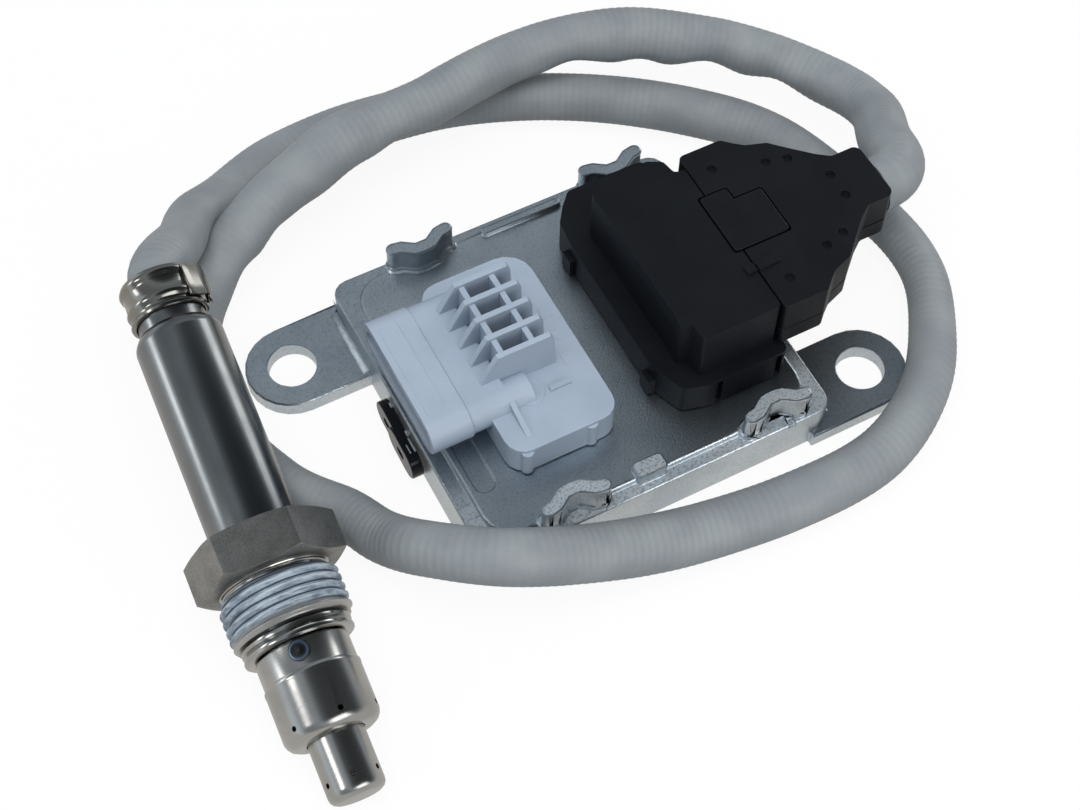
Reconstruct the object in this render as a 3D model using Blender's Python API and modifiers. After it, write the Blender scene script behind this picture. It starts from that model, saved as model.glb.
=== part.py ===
"""Nitrogen oxide sensor: a die-cast control unit, its two connectors, the sleeved cable and the probe.

Metres, +Z up. The origin is the centre of the control unit's underside, X runs along the mounting
lugs towards the plug, and Y runs towards the back edge. The probe lies beside the unit on an empty.
"""

import math

import bmesh
import bpy
from mathutils import Matrix, Vector

mm = 0.001

clearance = 0.3 * mm  # gap between pieces that seat on each other
overlap = 1.0 * mm  # how far joined shapes run into each other

# Die-cast housing
housing_length = 65.6 * mm
housing_width = 61.2 * mm
housing_corner = 3.0 * mm
rim_height = 9.0 * mm
plateau_rise = 1.1 * mm
plateau_left = 2.8 * mm  # from the left wall to the foot of the plateau
plateau_right = 2.5 * mm
plateau_ends = 2.2 * mm
plateau_corner = 5.7 * mm
wall = 2.2 * mm
ceiling = 1.6 * mm
lid_top = rim_height + plateau_rise
recess_margin = 2.9 * mm  # between the lid's recess and the grey header
recess_corner = 1.8 * mm
recess_depth = 0.4 * mm

# Mounting lugs
lug_thickness = 3.1 * mm
lug_radius = 8.2 * mm
lug_hole = 8.5 * mm
left_lug_reach = 11.3 * mm  # from the wall to the bolt hole
right_lug_reach = 10.75 * mm
right_lug_overhang = 1.1 * mm  # how far the right lug stands past the front wall
lug_fillet = 2.0 * mm

# Curved posts on the rim
post_length = 12.5 * mm
post_width = 2.45 * mm
post_top = 5.7 * mm  # above the rim
post_bow = 1.75 * mm
post_edge = 0.45 * mm  # from the housing's wall to the post's ends
post_left = -15.9 * mm
post_right = 22.0 * mm

# Base plate, gasket and circuit board
plate_thickness = 1.2 * mm
gasket_width = 0.9 * mm
gasket_height = 0.6 * mm
board_thickness = 1.6 * mm
board_margin = 0.8 * mm
board_top = 4.8 * mm
boss_radius = 2.4 * mm
boss_inset = 3.6 * mm
screw_radius = 1.0 * mm
screw_head_radius = 2.0 * mm
screw_head_height = 1.0 * mm
screw_length = 3.6 * mm
chip_side = 12.0 * mm
chip_height = 1.4 * mm

# Vehicle header, the grey one
grey_left = -22.0 * mm
grey_length = 20.0 * mm
grey_front = -18.9 * mm
grey_width = 36.8 * mm
grey_height = 6.5 * mm  # of the flange above the lid
grey_corner = 3.5 * mm
shroud_radius = 3.3 * mm
shroud_axis = 5.9 * mm  # above the lid
shroud_front = -7.8 * mm
shroud_back = 12.0 * mm
shroud_wall = 1.1 * mm
shroud_depth = 13.8 * mm
collar_length = 7.6 * mm
collar_rise = 0.35 * mm
boss_end = 8.2 * mm  # from the flange's left side to the end of the round boss
rib_count = 5
rib_pitch = 3.93 * mm
rib_first = -5.2 * mm
rib_thickness = 1.0 * mm
rib_height = 5.8 * mm  # above the shroud's top
cross_rib_1 = 5.05 * mm  # from the flange's left side
cross_rib_2 = 10.65 * mm
grey_pin_count = 5
grey_pin_pitch = 4.0 * mm
grey_leg_inset = 6.5 * mm  # from the flange's left side to the pins' legs
grey_window_back = 1.5 * mm  # room in the lid on both sides of the legs
grey_window_ahead = 2.5 * mm
pin_side = 0.7 * mm

# Probe header, the black one
black_left = 6.1 * mm
black_right = 28.2 * mm
black_front = -21.6 * mm
black_back = 24.7 * mm
black_flange = 6.3 * mm  # above the lid
black_top = 17.9 * mm
body_left = 10.0 * mm
body_right = 26.7 * mm
body_front = -19.3 * mm
body_back = 16.9 * mm
socket_left = 16.7 * mm
black_pins_per_row = 4
black_pin_pitch = 6.0 * mm
upper_pin_row = 23.4 * mm
lower_pin_row = 20.7 * mm

# Plug: two backshell halves round an insert
plug_axis = -2.45 * mm
plug_front = 27.0 * mm
plug_back = 55.8 * mm
plug_bottom = 17.5 * mm
plug_seam = 21.3 * mm
insert_left = 17.0 * mm
insert_right = 34.2 * mm
insert_width = 28.0 * mm
insert_bottom = 19.3 * mm
insert_top = 25.0 * mm
plug_half_width = 17.6 * mm
cable_height = 22.7 * mm
wire_hole = 7.0 * mm
pit_radius = 0.9 * mm
pit_depth = 0.5 * mm
latch_thickness = 1.3 * mm
latch_depth = 1.4 * mm

# Cable sleeve
sleeve_diameter = 9.8 * mm
plug_approach = 2.5 * mm  # straight stretch before the plug

# Probe, along its own axis from the hexagon's middle; the tip is at the positive end
probe_point = (-64.3 * mm, -14.4 * mm, 13.1 * mm)
probe_heading = math.radians(3.9)  # from -Y towards -X
probe_tilt = math.radians(11.0)  # nose down
probe_roll = math.radians(6.3)
hex_across = 22.0 * mm
hex_length = 5.7 * mm
neck_radius = 8.6 * mm
thread_start = 6.9 * mm
thread_length = 7.5 * mm
thread_radius = 10.0 * mm
thread_pitch = 1.5 * mm
thread_depth = 0.85 * mm
turning_gap = 0.4 * mm
shell_radius = 7.3 * mm
shell_rear = 9.0 * mm
shell_neck_radius = 6.2 * mm
shell_bore = 4.0 * mm
collar_radius = 9.1 * mm
collar_width = 2.6 * mm
spigot_length = 3.0 * mm
tube_end = 41.3 * mm
tube_wall = 0.8 * mm
tube_shoulder = 2.5 * mm
tube_neck_radius = 6.2 * mm
tube_neck_length = 4.6 * mm
clamp_start = 43.2 * mm
clamp_width = 7.4 * mm
clamp_radius = 7.7 * mm
clamp_bead = 0.35 * mm
shield_radius = 7.5 * mm
shield_wall = 0.6 * mm
shield_length = 13.9 * mm
tip_radius = 4.5 * mm
tip_end = 41.5 * mm
tip_wall = 0.5 * mm
gas_hole = 1.1 * mm
grommet_length = 8.0 * mm
element_width = 4.0 * mm
element_thickness = 1.3 * mm

base_level = 0.0
# Middle of the sleeve, in millimetres, as it lies in its loop
cable_route = [
    (-56, 48.5, 19.5), (-50, 54, 13), (-41.5, 57.5, 8), (-29, 61.5, 6.5), (-12, 63.5, 5.5), (7, 61, 5),
    (26.5, 52.5, 5), (43, 40.5, 5), (55, 25, 5), (61.5, 9.5, 5), (64.5, -7, 5), (61.5, -20, 5.5),
    (51.5, -33, 6.5), (36.5, -40.5, 5), (18, -41.5, 5), (0, -39.5, 5.5), (-17, -37, 9.5),
    (-31, -33.5, 14), (-40.5, -25.5, 12), (-45, -17.5, 7), (-48.5, -8.5, 5), (-55.5, 1, 5), (-60, 12, 5),
    (-60.5, 25, 5), (-55, 37, 5.5), (-45.5, 44.5, 10), (-33, 50.5, 13.5), (-15, 55, 15),
    (3, 57.5, 15.5), (21, 58, 15.5), (37, 55.5, 15), (51, 47.5, 13.5), (63.5, 36, 12.5),
    (71, 22.5, 12.5), (71.5, 10, 16.5), (66, 1, 21),
]


def start_scene():
    """An empty scene with one collection for the parts and one for the cutters."""
    for obj in list(bpy.data.objects):
        bpy.data.objects.remove(obj, do_unlink=True)
    for title in ("nitrogen_oxide_sensor", "cutters"):
        group = bpy.data.collections.new(title)
        bpy.context.scene.collection.children.link(group)
    bpy.data.collections["cutters"].hide_render = True


def material(title, colour, roughness, metallic=0.0):
    made = bpy.data.materials.get(title)
    if made is None:
        made = bpy.data.materials.new(title)
        made.use_nodes = True
        shader = made.node_tree.nodes["Principled BSDF"]
        shader.inputs["Base Color"].default_value = (*colour, 1.0)
        shader.inputs["Roughness"].default_value = roughness
        shader.inputs["Metallic"].default_value = metallic
    return made


def add_object(title, data, group="nitrogen_oxide_sensor"):
    obj = bpy.data.objects.new(title, data)
    bpy.data.collections[group].objects.link(obj)
    if group == "cutters":
        obj.hide_render = True
        obj.display_type = "WIRE"
    return obj


def evaluated_mesh(obj):
    bpy.context.view_layer.update()
    graph = bpy.context.evaluated_depsgraph_get()
    return bpy.data.meshes.new_from_object(obj.evaluated_get(graph))


def weld(mesh, distance=0.002 * mm):
    work = bmesh.new()
    work.from_mesh(mesh)
    bmesh.ops.remove_doubles(work, verts=work.verts, dist=distance)
    bmesh.ops.recalc_face_normals(work, faces=work.faces)
    work.to_mesh(mesh)
    work.free()


def as_mesh(obj):
    """Turns a curve, or an object with modifiers, into a plain mesh object in world space."""
    mesh = evaluated_mesh(obj)
    mesh.transform(obj.matrix_world)
    weld(mesh)
    title, group = obj.name, obj.users_collection[0].name
    bpy.data.objects.remove(obj, do_unlink=True)
    made = add_object(title + "_mesh", mesh, group)
    made.name = title
    return made


def finish(obj, look, angle=30):
    obj.data.materials.clear()
    obj.data.materials.append(look)
    if obj.type == "MESH":
        obj.data.shade_smooth()
        obj.data.set_sharp_from_angle(angle=math.radians(angle))
    return obj


def rounded(corners, radii, turn=math.radians(22.5)):
    """The outline through these corners, each rounded by its radius."""
    if not hasattr(radii, "__len__"):
        radii = [radii] * len(corners)
    outline = []
    for i, corner in enumerate(corners):
        here = Vector(corner)
        before = Vector(corners[i - 1]) - here
        after = Vector(corners[(i + 1) % len(corners)]) - here
        angle = before.angle(after)
        radius = radii[i]
        reach = radius / math.tan(angle / 2)
        limit = 0.49 * min(before.length, after.length)
        if reach > limit:
            radius, reach = radius * limit / reach, limit
        if radius < 0.05 * mm:
            outline.append(tuple(here))
            continue
        start = here + before.normalized() * reach
        end = here + after.normalized() * reach
        middle = (before.normalized() + after.normalized()).normalized()
        centre = here + middle * radius / math.sin(angle / 2)
        sweep = math.pi - angle
        pieces = max(1, round(sweep / turn))
        first = start - centre
        side = 1 if first.cross(end - centre) > 0 else -1
        for k in range(pieces + 1):
            swing = Matrix.Rotation(side * sweep * k / pieces, 2)
            outline.append(tuple(centre + swing @ first))
    return outline


def rectangle(left, right, front, back, radius=0.0):
    return rounded([(left, front), (right, front), (right, back), (left, back)], radius)


def capsule(first, second, radius, pieces=8):
    """A slot's outline: two half circles joined by straight sides."""
    first, second = Vector(first), Vector(second)
    along = (second - first).normalized()
    start = math.atan2(along.y, along.x)
    outline = []
    for centre, turn in ((second, start - math.pi / 2), (first, start + math.pi / 2)):
        for k in range(pieces + 1):
            angle = turn + math.pi * k / pieces
            outline.append((centre.x + radius * math.cos(angle), centre.y + radius * math.sin(angle)))
    return outline


def band(middle, width, pieces=6):
    """The outline of a strip of this width along a line of points, with round ends."""
    points = [Vector(p) for p in middle]
    sides = ([], [])
    for i, point in enumerate(points):
        ahead = points[min(i + 1, len(points) - 1)] - points[max(i - 1, 0)]
        normal = Vector((-ahead.y, ahead.x)).normalized() * width / 2
        sides[0].append(point - normal)
        sides[1].append(point + normal)
    outline = list(sides[0])
    for centre, start in ((points[-1], sides[0][-1]), (points[0], sides[1][0])):
        arm = start - centre
        for k in range(1, pieces):
            outline.append(centre + Matrix.Rotation(math.pi * k / pieces, 2) @ arm)
        if centre is points[-1]:
            outline.extend(reversed(sides[1]))
    return [tuple(p) for p in outline]


planes = {
    "top": Matrix.Identity(4),
    "front": Matrix(((1, 0, 0, 0), (0, 0, -1, 0), (0, 1, 0, 0), (0, 0, 0, 1))),
    "side": Matrix(((0, 0, 1, 0), (1, 0, 0, 0), (0, 1, 0, 0), (0, 0, 0, 1))),
}


def prism(title, outline, low, high, plane="top", holes=(), group="nitrogen_oxide_sensor"):
    """A flat outline extruded from low to high: along Z, or along Y (front) or X (side)."""
    curve = bpy.data.curves.new(title, "CURVE")
    curve.dimensions = "2D"
    curve.fill_mode = "BOTH"
    curve.extrude = (high - low) / 2
    for loop in (outline, *holes):
        spline = curve.splines.new("POLY")
        spline.points.add(len(loop) - 1)
        for point, (x, y) in zip(spline.points, loop):
            point.co = (x, y, 0.0, 1.0)
        spline.use_cyclic_u = True
    obj = add_object(title, curve, group)
    middle = (low + high) / 2
    if plane == "front":
        middle = -middle
    obj.matrix_world = planes[plane] @ Matrix.Translation((0, 0, middle))
    return as_mesh(obj)


def block(title, x, y, z, group="nitrogen_oxide_sensor"):
    """A box between the two values of each axis."""
    mesh = bpy.data.meshes.new(title)
    work = bmesh.new()
    size = Vector((x[1] - x[0], y[1] - y[0], z[1] - z[0]))
    place = Vector(((x[0] + x[1]) / 2, (y[0] + y[1]) / 2, (z[0] + z[1]) / 2))
    bmesh.ops.create_cube(work, size=1.0, matrix=Matrix.Translation(place) @ Matrix.Diagonal((*size, 1.0)))
    work.to_mesh(mesh)
    work.free()
    return add_object(title, mesh, group)


def drum(title, centre, radius, length, axis="Z", sides=16, group="nitrogen_oxide_sensor"):
    """A cylinder round its centre along one axis."""
    mesh = bpy.data.meshes.new(title)
    work = bmesh.new()
    turn = {
        "X": Matrix.Rotation(math.pi / 2, 4, "Y"),
        "Y": Matrix.Rotation(math.pi / 2, 4, "X"),
        "Z": Matrix.Identity(4),
    }[axis]
    bmesh.ops.create_cone(
        work, cap_ends=True, segments=sides, radius1=radius, radius2=radius, depth=length,
        matrix=Matrix.Translation(centre) @ turn,
    )
    work.to_mesh(mesh)
    work.free()
    return add_object(title, mesh, group)


def soften(obj, width, segments=1, axis=2, level=None, tolerance=0.02 * mm):
    """Bevels the edges that lie at one level along an axis, the top edges unless told otherwise."""
    mesh = obj.data
    work = bmesh.new()
    work.from_mesh(mesh)
    if level is None:
        level = max(v.co[axis] for v in work.verts)
    edges = [
        e for e in work.edges
        if all(abs(v.co[axis] - level) < tolerance for v in e.verts)
        and len(e.link_faces) == 2 and e.calc_face_angle(0) > math.radians(40)
    ]
    bmesh.ops.bevel(
        work, geom=edges, offset=width, segments=segments, profile=0.5, affect="EDGES", clamp_overlap=True
    )
    bmesh.ops.remove_doubles(work, verts=work.verts, dist=0.001 * mm)
    bmesh.ops.connect_verts_nonplanar(work, angle_limit=math.radians(0.05), faces=work.faces)
    work.to_mesh(mesh)
    work.free()
    return obj


def combine(obj, others, operation):
    """Joins other meshes to this one, or cuts them out of it, and leaves one plain mesh."""
    for other in others:
        modifier = obj.modifiers.new(operation.title(), "BOOLEAN")
        modifier.operation = operation
        modifier.solver = "EXACT"
        modifier.object = other
        mesh = evaluated_mesh(obj)
        old = obj.data
        obj.modifiers.clear()
        obj.data = mesh
        bpy.data.meshes.remove(old)
        bpy.data.objects.remove(other, do_unlink=True)
    return obj


def join(obj, *others):
    return combine(obj, others, "UNION")


def cut(obj, *others):
    return combine(obj, others, "DIFFERENCE")


def turned(title, profile, sides=32):
    """A turned piece round Z: the profile is a closed loop of (radius, height) points."""
    mesh = bpy.data.meshes.new(title)
    work = bmesh.new()
    ring = [work.verts.new((r, 0.0, z)) for r, z in profile]
    closed = all(r > 1e-6 for r, z in profile)
    for a, b in zip(ring, ring[1:] + (ring[:1] if closed else [])):
        work.edges.new((a, b))
    work.to_mesh(mesh)
    work.free()
    obj = add_object(title, mesh)
    screw = obj.modifiers.new("Turn", "SCREW")
    screw.axis = "Z"
    screw.steps = screw.render_steps = sides
    screw.use_merge_vertices = True
    screw.merge_threshold = 0.00001
    return as_mesh(obj)


def arc(centre_r, centre_z, radius, first, last, pieces=4):
    """Profile points along an arc, with angles in degrees from the radial direction."""
    points = []
    for k in range(pieces + 1):
        angle = math.radians(first + (last - first) * k / pieces)
        points.append((centre_r + radius * math.cos(angle), centre_z + radius * math.sin(angle)))
    return points


def half_sizes(inset):
    return housing_length / 2 - inset, housing_width / 2 - inset


pocket_x, pocket_y = half_sizes(wall)
gasket_bottom = plate_thickness + clearance
ledge_level = gasket_bottom + gasket_height + clearance
cavity_x, cavity_y = pocket_x - clearance - gasket_width, pocket_y - clearance - gasket_width
cavity_top = rim_height - ceiling
boss_bottom = board_top + clearance
boss_x, boss_y = cavity_x - boss_inset, cavity_y - boss_inset
grey_right = grey_left + grey_length
grey_back = grey_front + grey_width
grey_bottom = lid_top + clearance
grey_top = lid_top + grey_height
shroud_z = lid_top + shroud_axis
mouth = -housing_length / 2
grey_leg = grey_left + grey_leg_inset
grey_window = (grey_leg - grey_window_back, grey_leg + grey_window_ahead)
upper_leg = body_left + 2.6 * mm
lower_leg = body_left + 4.4 * mm
black_window = (body_left + 1.6 * mm, body_left + 5.4 * mm)
black_roof = lid_top + black_top


def build_posts():
    """Four bowed posts on the rim, hollow side outwards, each on a low foot."""
    pieces = []
    for number, (x, side) in enumerate(
        ((post_left, -1), (post_right, -1), (post_left, 1), (post_right, 1))
    ):
        half = (post_length - post_width) / 2
        ends = housing_width / 2 - post_edge - post_width / 2
        shape = [(-half, 0.0), (-0.72 * half, -0.12), (-0.3 * half, -0.94), (-0.12 * half, -1.0),
                 (0.12 * half, -1.0), (0.3 * half, -0.94), (0.72 * half, -0.12), (half, 0.0)]
        middle = [(x + along, side * (ends + bow * post_bow)) for along, bow in shape]
        foot = 0.9 * mm
        low = [(a, b - side * foot / 2) for a, b in middle]
        base = prism(f"post_foot_{number}", band(low, post_width + foot, 5),
                     rim_height - overlap, rim_height + 1.4 * mm)
        soften(base, 0.5 * mm)
        tall = prism(f"post_{number}", band(middle, post_width), rim_height - overlap, rim_height + post_top)
        soften(tall, 0.4 * mm, 2)
        pieces += [base, tall]
    return pieces


def build_lugs():
    """The two bolt lugs at opposite corners, with the fillet where each meets the wall."""
    pieces = []
    left = Vector((-housing_length / 2 - left_lug_reach, housing_width / 2 - lug_radius - 0.05 * mm))
    right = Vector((housing_length / 2 + right_lug_reach,
                    -housing_width / 2 + lug_radius - right_lug_overhang))
    for number, (centre, side) in enumerate(((left, -1), (right, 1))):
        root = side * (housing_length / 2 - housing_corner - overlap)
        arch = [(centre.x + side * lug_radius * math.cos(a), centre.y + lug_radius * math.sin(a))
                for a in [math.radians(-90 + 15 * k) for k in range(13)]]
        outline = [(root, centre.y - lug_radius), *arch, (root, centre.y + lug_radius)]
        if side < 0:
            outline.reverse()
        lug = prism(f"lug_{number}", outline, base_level - overlap, lug_thickness)
        soften(lug, 0.4 * mm, 2)
        cut(lug, drum(f"lug_hole_{number}", (centre.x, centre.y, lug_thickness / 2), lug_hole / 2,
                      4 * lug_thickness, sides=32, group="cutters"))
        pieces.append(lug)
        wall_x = side * (housing_length / 2 - 0.15 * mm)
        inner = wall_x - side * 0.6 * mm
        level = lug_thickness - 0.15 * mm
        curve = [(wall_x + side * lug_fillet * (1 - math.cos(math.radians(a))),
                  level + lug_fillet * (1 - math.sin(math.radians(a))))
                 for a in (0, 22.5, 45, 67.5, 90)]
        corner = [(inner, lug_thickness - overlap), (inner, level + lug_fillet), *curve,
                  (wall_x + side * lug_fillet, lug_thickness - overlap)]
        reach = housing_width / 2 - 0.7 * housing_corner
        low = max(centre.y - lug_radius + 0.7 * mm, -reach)
        high = min(centre.y + lug_radius - 0.7 * mm, reach)
        pieces.append(prism(f"lug_fillet_{number}", corner, low, high, "front"))
    return pieces


def build_housing(look):
    """The die casting: walls, stepped lid, posts, lugs and the hollow for the circuit board."""
    x, y = half_sizes(0.0)
    body = prism("housing", rectangle(-x, x, -y, y, housing_corner), base_level - 2 * overlap, rim_height)
    soften(body, 0.6 * mm, 2)
    plateau = prism(
        "plateau",
        rectangle(-x + plateau_left, x - plateau_right, -y + plateau_ends, y - plateau_ends, plateau_corner),
        rim_height - overlap, lid_top,
    )
    soften(plateau, 0.9 * mm)
    nub = prism("nub", rectangle(-4.2 * mm, 1.3 * mm, -y + 1.4 * mm, -y + 4.5 * mm, 0.8 * mm),
                rim_height - overlap, rim_height + 2.5 * mm)
    soften(nub, 0.5 * mm, 2)
    bar = prism("bar", rectangle(-4.3 * mm, 11.2 * mm, y - 3.7 * mm, y - 2.1 * mm, 0.7 * mm),
                rim_height - overlap, rim_height + 2.0 * mm)
    soften(bar, 0.4 * mm, 2)
    lugs = build_lugs()
    join(body, plateau, *build_posts(), nub, bar, *lugs)
    recess = prism("recess", rectangle(mouth + plateau_left + 1.4 * mm, grey_left - recess_margin,
                                       grey_front - 0.3 * mm, grey_back + 1.9 * mm, recess_corner),
                   lid_top - recess_depth, lid_top + overlap, group="cutters")
    notch = block("rim_notch", (post_right + 1.9 * mm, post_right + 3.2 * mm), (-y - overlap, -y + 1.6 * mm),
                  (rim_height - 0.6 * mm, rim_height + overlap), "cutters")
    pocket = prism("pocket", rectangle(-pocket_x, pocket_x, -pocket_y, pocket_y, 1.2 * mm),
                   base_level - 3 * overlap, ledge_level, group="cutters")
    hollow = prism("hollow", rectangle(-cavity_x, cavity_x, -cavity_y, cavity_y, 1.2 * mm),
                   base_level, cavity_top, group="cutters")
    windows = [
        prism(f"window_{k}", rectangle(a, b, c, d, 1.0 * mm), cavity_top - overlap, lid_top + overlap,
              group="cutters")
        for k, (a, b, c, d) in enumerate((
            (*grey_window, shroud_front, shroud_back),
            (*black_window, plug_axis - insert_width / 2 + 1.5 * mm, plug_axis + insert_width / 2 - 1.5 * mm),
        ))
    ]
    trim = block("trim", (-2 * x, 2 * x), (-2 * y, 2 * y), (base_level - 5 * overlap, base_level), "cutters")
    cut(body, recess, notch, pocket, hollow, *windows, trim)
    bosses, threads = [], []
    for number, (a, b) in enumerate(boss_places()):
        length = cavity_top + 0.5 * mm - boss_bottom
        bosses.append(drum(f"boss_{number}", (a, b, boss_bottom + length / 2), boss_radius, length))
        threads.append(drum(f"boss_hole_{number}", (a, b, boss_bottom), screw_radius + clearance,
                            2 * (screw_length - board_thickness + 0.2 * mm), sides=12, group="cutters"))
    join(body, *bosses)
    cut(body, *threads)
    return finish(body, look)


def boss_places():
    return [(a * boss_x, b * boss_y) for a in (-1, 1) for b in (-1, 1)]


def build_inside(steel, rubber, board_look, chip_look):
    """The base plate, its gasket, the circuit board, its screws and the largest chips."""
    x, y = pocket_x - clearance, pocket_y - clearance
    plate = prism("base_plate", rectangle(-x, x, -y, y, 1.0 * mm), base_level, plate_thickness)
    finish(plate, steel)
    inner_x, inner_y = x - gasket_width, y - gasket_width
    gasket = prism("base_gasket", rectangle(-x, x, -y, y, 1.0 * mm), gasket_bottom,
                   gasket_bottom + gasket_height,
                   holes=[list(reversed(rectangle(-inner_x, inner_x, -inner_y, inner_y, 0.6 * mm)))])
    finish(gasket, rubber)
    a, b = cavity_x - board_margin, cavity_y - board_margin
    board = prism("circuit_board", rectangle(-a, a, -b, b, 1.0 * mm), board_top - board_thickness, board_top)
    cut(board, *[drum(f"board_hole_{k}", (p, q, board_top), screw_radius + clearance, 4 * board_thickness,
                      sides=12, group="cutters") for k, (p, q) in enumerate(boss_places())])
    finish(board, board_look)
    underside = board_top - board_thickness
    for number, (p, q) in enumerate(boss_places(), 1):
        head_top = underside - clearance
        head = drum(f"board_screw_{number}", (p, q, head_top - screw_head_height / 2), screw_head_radius,
                    screw_head_height)
        shank = drum("shank", (p, q, head_top - 0.3 * mm + screw_length / 2), screw_radius, screw_length,
                     sides=12)
        join(head, shank)
        finish(head, steel)
    places = (("microcontroller", 0.0, chip_side, chip_side), ("driver_chip", -18.0 * mm, 7.0 * mm, 5.0 * mm))
    level = board_top + clearance
    for title, offset, width, depth in places:
        chip = block(title, (-width / 2 + 4.0 * mm, width / 2 + 4.0 * mm),
                     (offset - depth / 2, offset + depth / 2), (level, level + chip_height))
        finish(chip, chip_look)


def build_grey_header(look, pin_look):
    """The vehicle header: flange on the lid, shroud out to the left wall, and the ribs over it."""
    flange = prism("vehicle_header",
                   rounded([(grey_left, grey_front), (grey_right, grey_front),
                            (grey_right, grey_back), (grey_left, grey_back)],
                           [grey_corner, grey_corner, grey_corner + 1.5 * mm, grey_corner]),
                   grey_bottom, grey_top)
    soften(flange, 0.9 * mm, 2)
    slot = capsule((shroud_front, shroud_z), (shroud_back, shroud_z), shroud_radius, 8)
    shroud = prism("shroud", slot, mouth + overlap, grey_left + 4.0 * mm, "side")
    wide = capsule((shroud_front, shroud_z), (shroud_back, shroud_z), shroud_radius + collar_rise, 8)
    collar = prism("collar", wide, mouth, mouth + collar_length, "side")
    soften(collar, 0.3 * mm, 1, axis=0)
    boss = drum("boss", (grey_left + boss_end / 2 + overlap, shroud_front, shroud_z),
                shroud_radius - 0.1 * mm, boss_end - 2 * overlap, "X", 16)
    ribs = []
    top = shroud_z + shroud_radius
    for k in range(rib_count):
        middle = rib_first + k * rib_pitch
        side = [(grey_left + 0.7 * mm, top - overlap), (grey_left + 0.7 * mm, top),
                (grey_left + 3.9 * mm, top + rib_height), (grey_right - 6.4 * mm, top + rib_height),
                (grey_right - 5.8 * mm, top + rib_height - 1.2 * mm), (grey_right - 5.4 * mm, grey_top - overlap),
                (grey_left + 2.0 * mm, grey_top - overlap)]
        ribs.append(prism(f"rib_{k}", side, middle - rib_thickness / 2, middle + rib_thickness / 2, "front"))
    reach = (rib_first, rib_first + (rib_count - 1) * rib_pitch)
    for k, x in enumerate((grey_left + cross_rib_1, grey_left + cross_rib_2)):
        ribs.append(block(f"cross_rib_{k}", (x - 0.5 * mm, x + 0.5 * mm), reach,
                          (grey_top - overlap, top + rib_height - 0.6 * mm)))
    ribs.append(block("low_rib", (grey_left + 11.2 * mm, grey_left + 15.0 * mm),
                      (grey_front + 8.4 * mm, grey_front + 9.3 * mm), (grey_top - overlap, grey_top + 0.5 * mm)))
    web = [(shroud_front - 0.7 * shroud_radius, grey_top - overlap), (grey_front + 2.4 * mm, grey_top - overlap),
           (grey_front + 2.4 * mm, grey_top + 0.1 * mm),
           (shroud_front - 0.7 * shroud_radius, shroud_z + 0.7 * shroud_radius)]
    ribs.append(prism("gusset", web, grey_left + 3.6 * mm, grey_left + 4.5 * mm, "side"))
    for k, x in enumerate((grey_left + 1.5 * mm + 1.2 * mm, grey_right - 5.5 * mm)):
        ribs.append(drum(f"foot_rib_{k}", (x, grey_front + 0.5 * mm, (grey_bottom + grey_top) / 2 - 0.3 * mm),
                         1.1 * mm, grey_top - grey_bottom - 0.8 * mm, sides=12))
    join(flange, shroud, collar, boss, *ribs)
    inner = capsule((shroud_front, shroud_z), (shroud_back, shroud_z), shroud_radius - shroud_wall, 6)
    wall_left = mouth + shroud_depth
    socket = prism("grey_socket", inner, mouth - overlap, wall_left, "side", group="cutters")
    leg_room = block("leg_room", (grey_window[0], grey_left + boss_end - 1.0 * mm),
                     (shroud_front, shroud_back), (grey_bottom - overlap, shroud_z + 1.2 * mm), "cutters")
    under = block("under", (grey_window[0] + overlap, grey_right - 2.0 * mm),
                  (grey_front + 2.5 * mm, grey_back - 2.5 * mm),
                  (grey_bottom - overlap, grey_top - 2.0 * mm), "cutters")
    channels = []
    for k, y in enumerate(grey_pin_places()):
        half = pin_side / 2 + clearance
        channels.append(block(f"grey_channel_{k}", (wall_left - overlap, grey_window[0] + overlap),
                              (y - half, y + half), (shroud_z - half, shroud_z + half), "cutters"))
    cut(flange, socket, leg_room, under, *channels)
    finish(flange, look)
    for number, y in enumerate(grey_pin_places(), 1):
        pin = bent_pin(f"vehicle_pin_{number}", mouth + 5.3 * mm, grey_leg, shroud_z, y)
        finish(pin, pin_look)


def grey_pin_places():
    middle = (shroud_front + shroud_back) / 2
    return [middle + (k - (grey_pin_count - 1) / 2) * grey_pin_pitch for k in range(grey_pin_count)]


def bent_pin(title, tip, leg, height, y):
    """A square pin that runs level from its tip to the leg and then down to the circuit board."""
    h = pin_side / 2
    foot = board_top + clearance
    back = h if leg > tip else -h
    outline = [(tip, height - h), (leg - back, height - h), (leg - back, foot), (leg + back, foot),
               (leg + back, height + h), (tip, height + h)]
    return prism(title, outline, y - h, y + h, "front")


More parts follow.
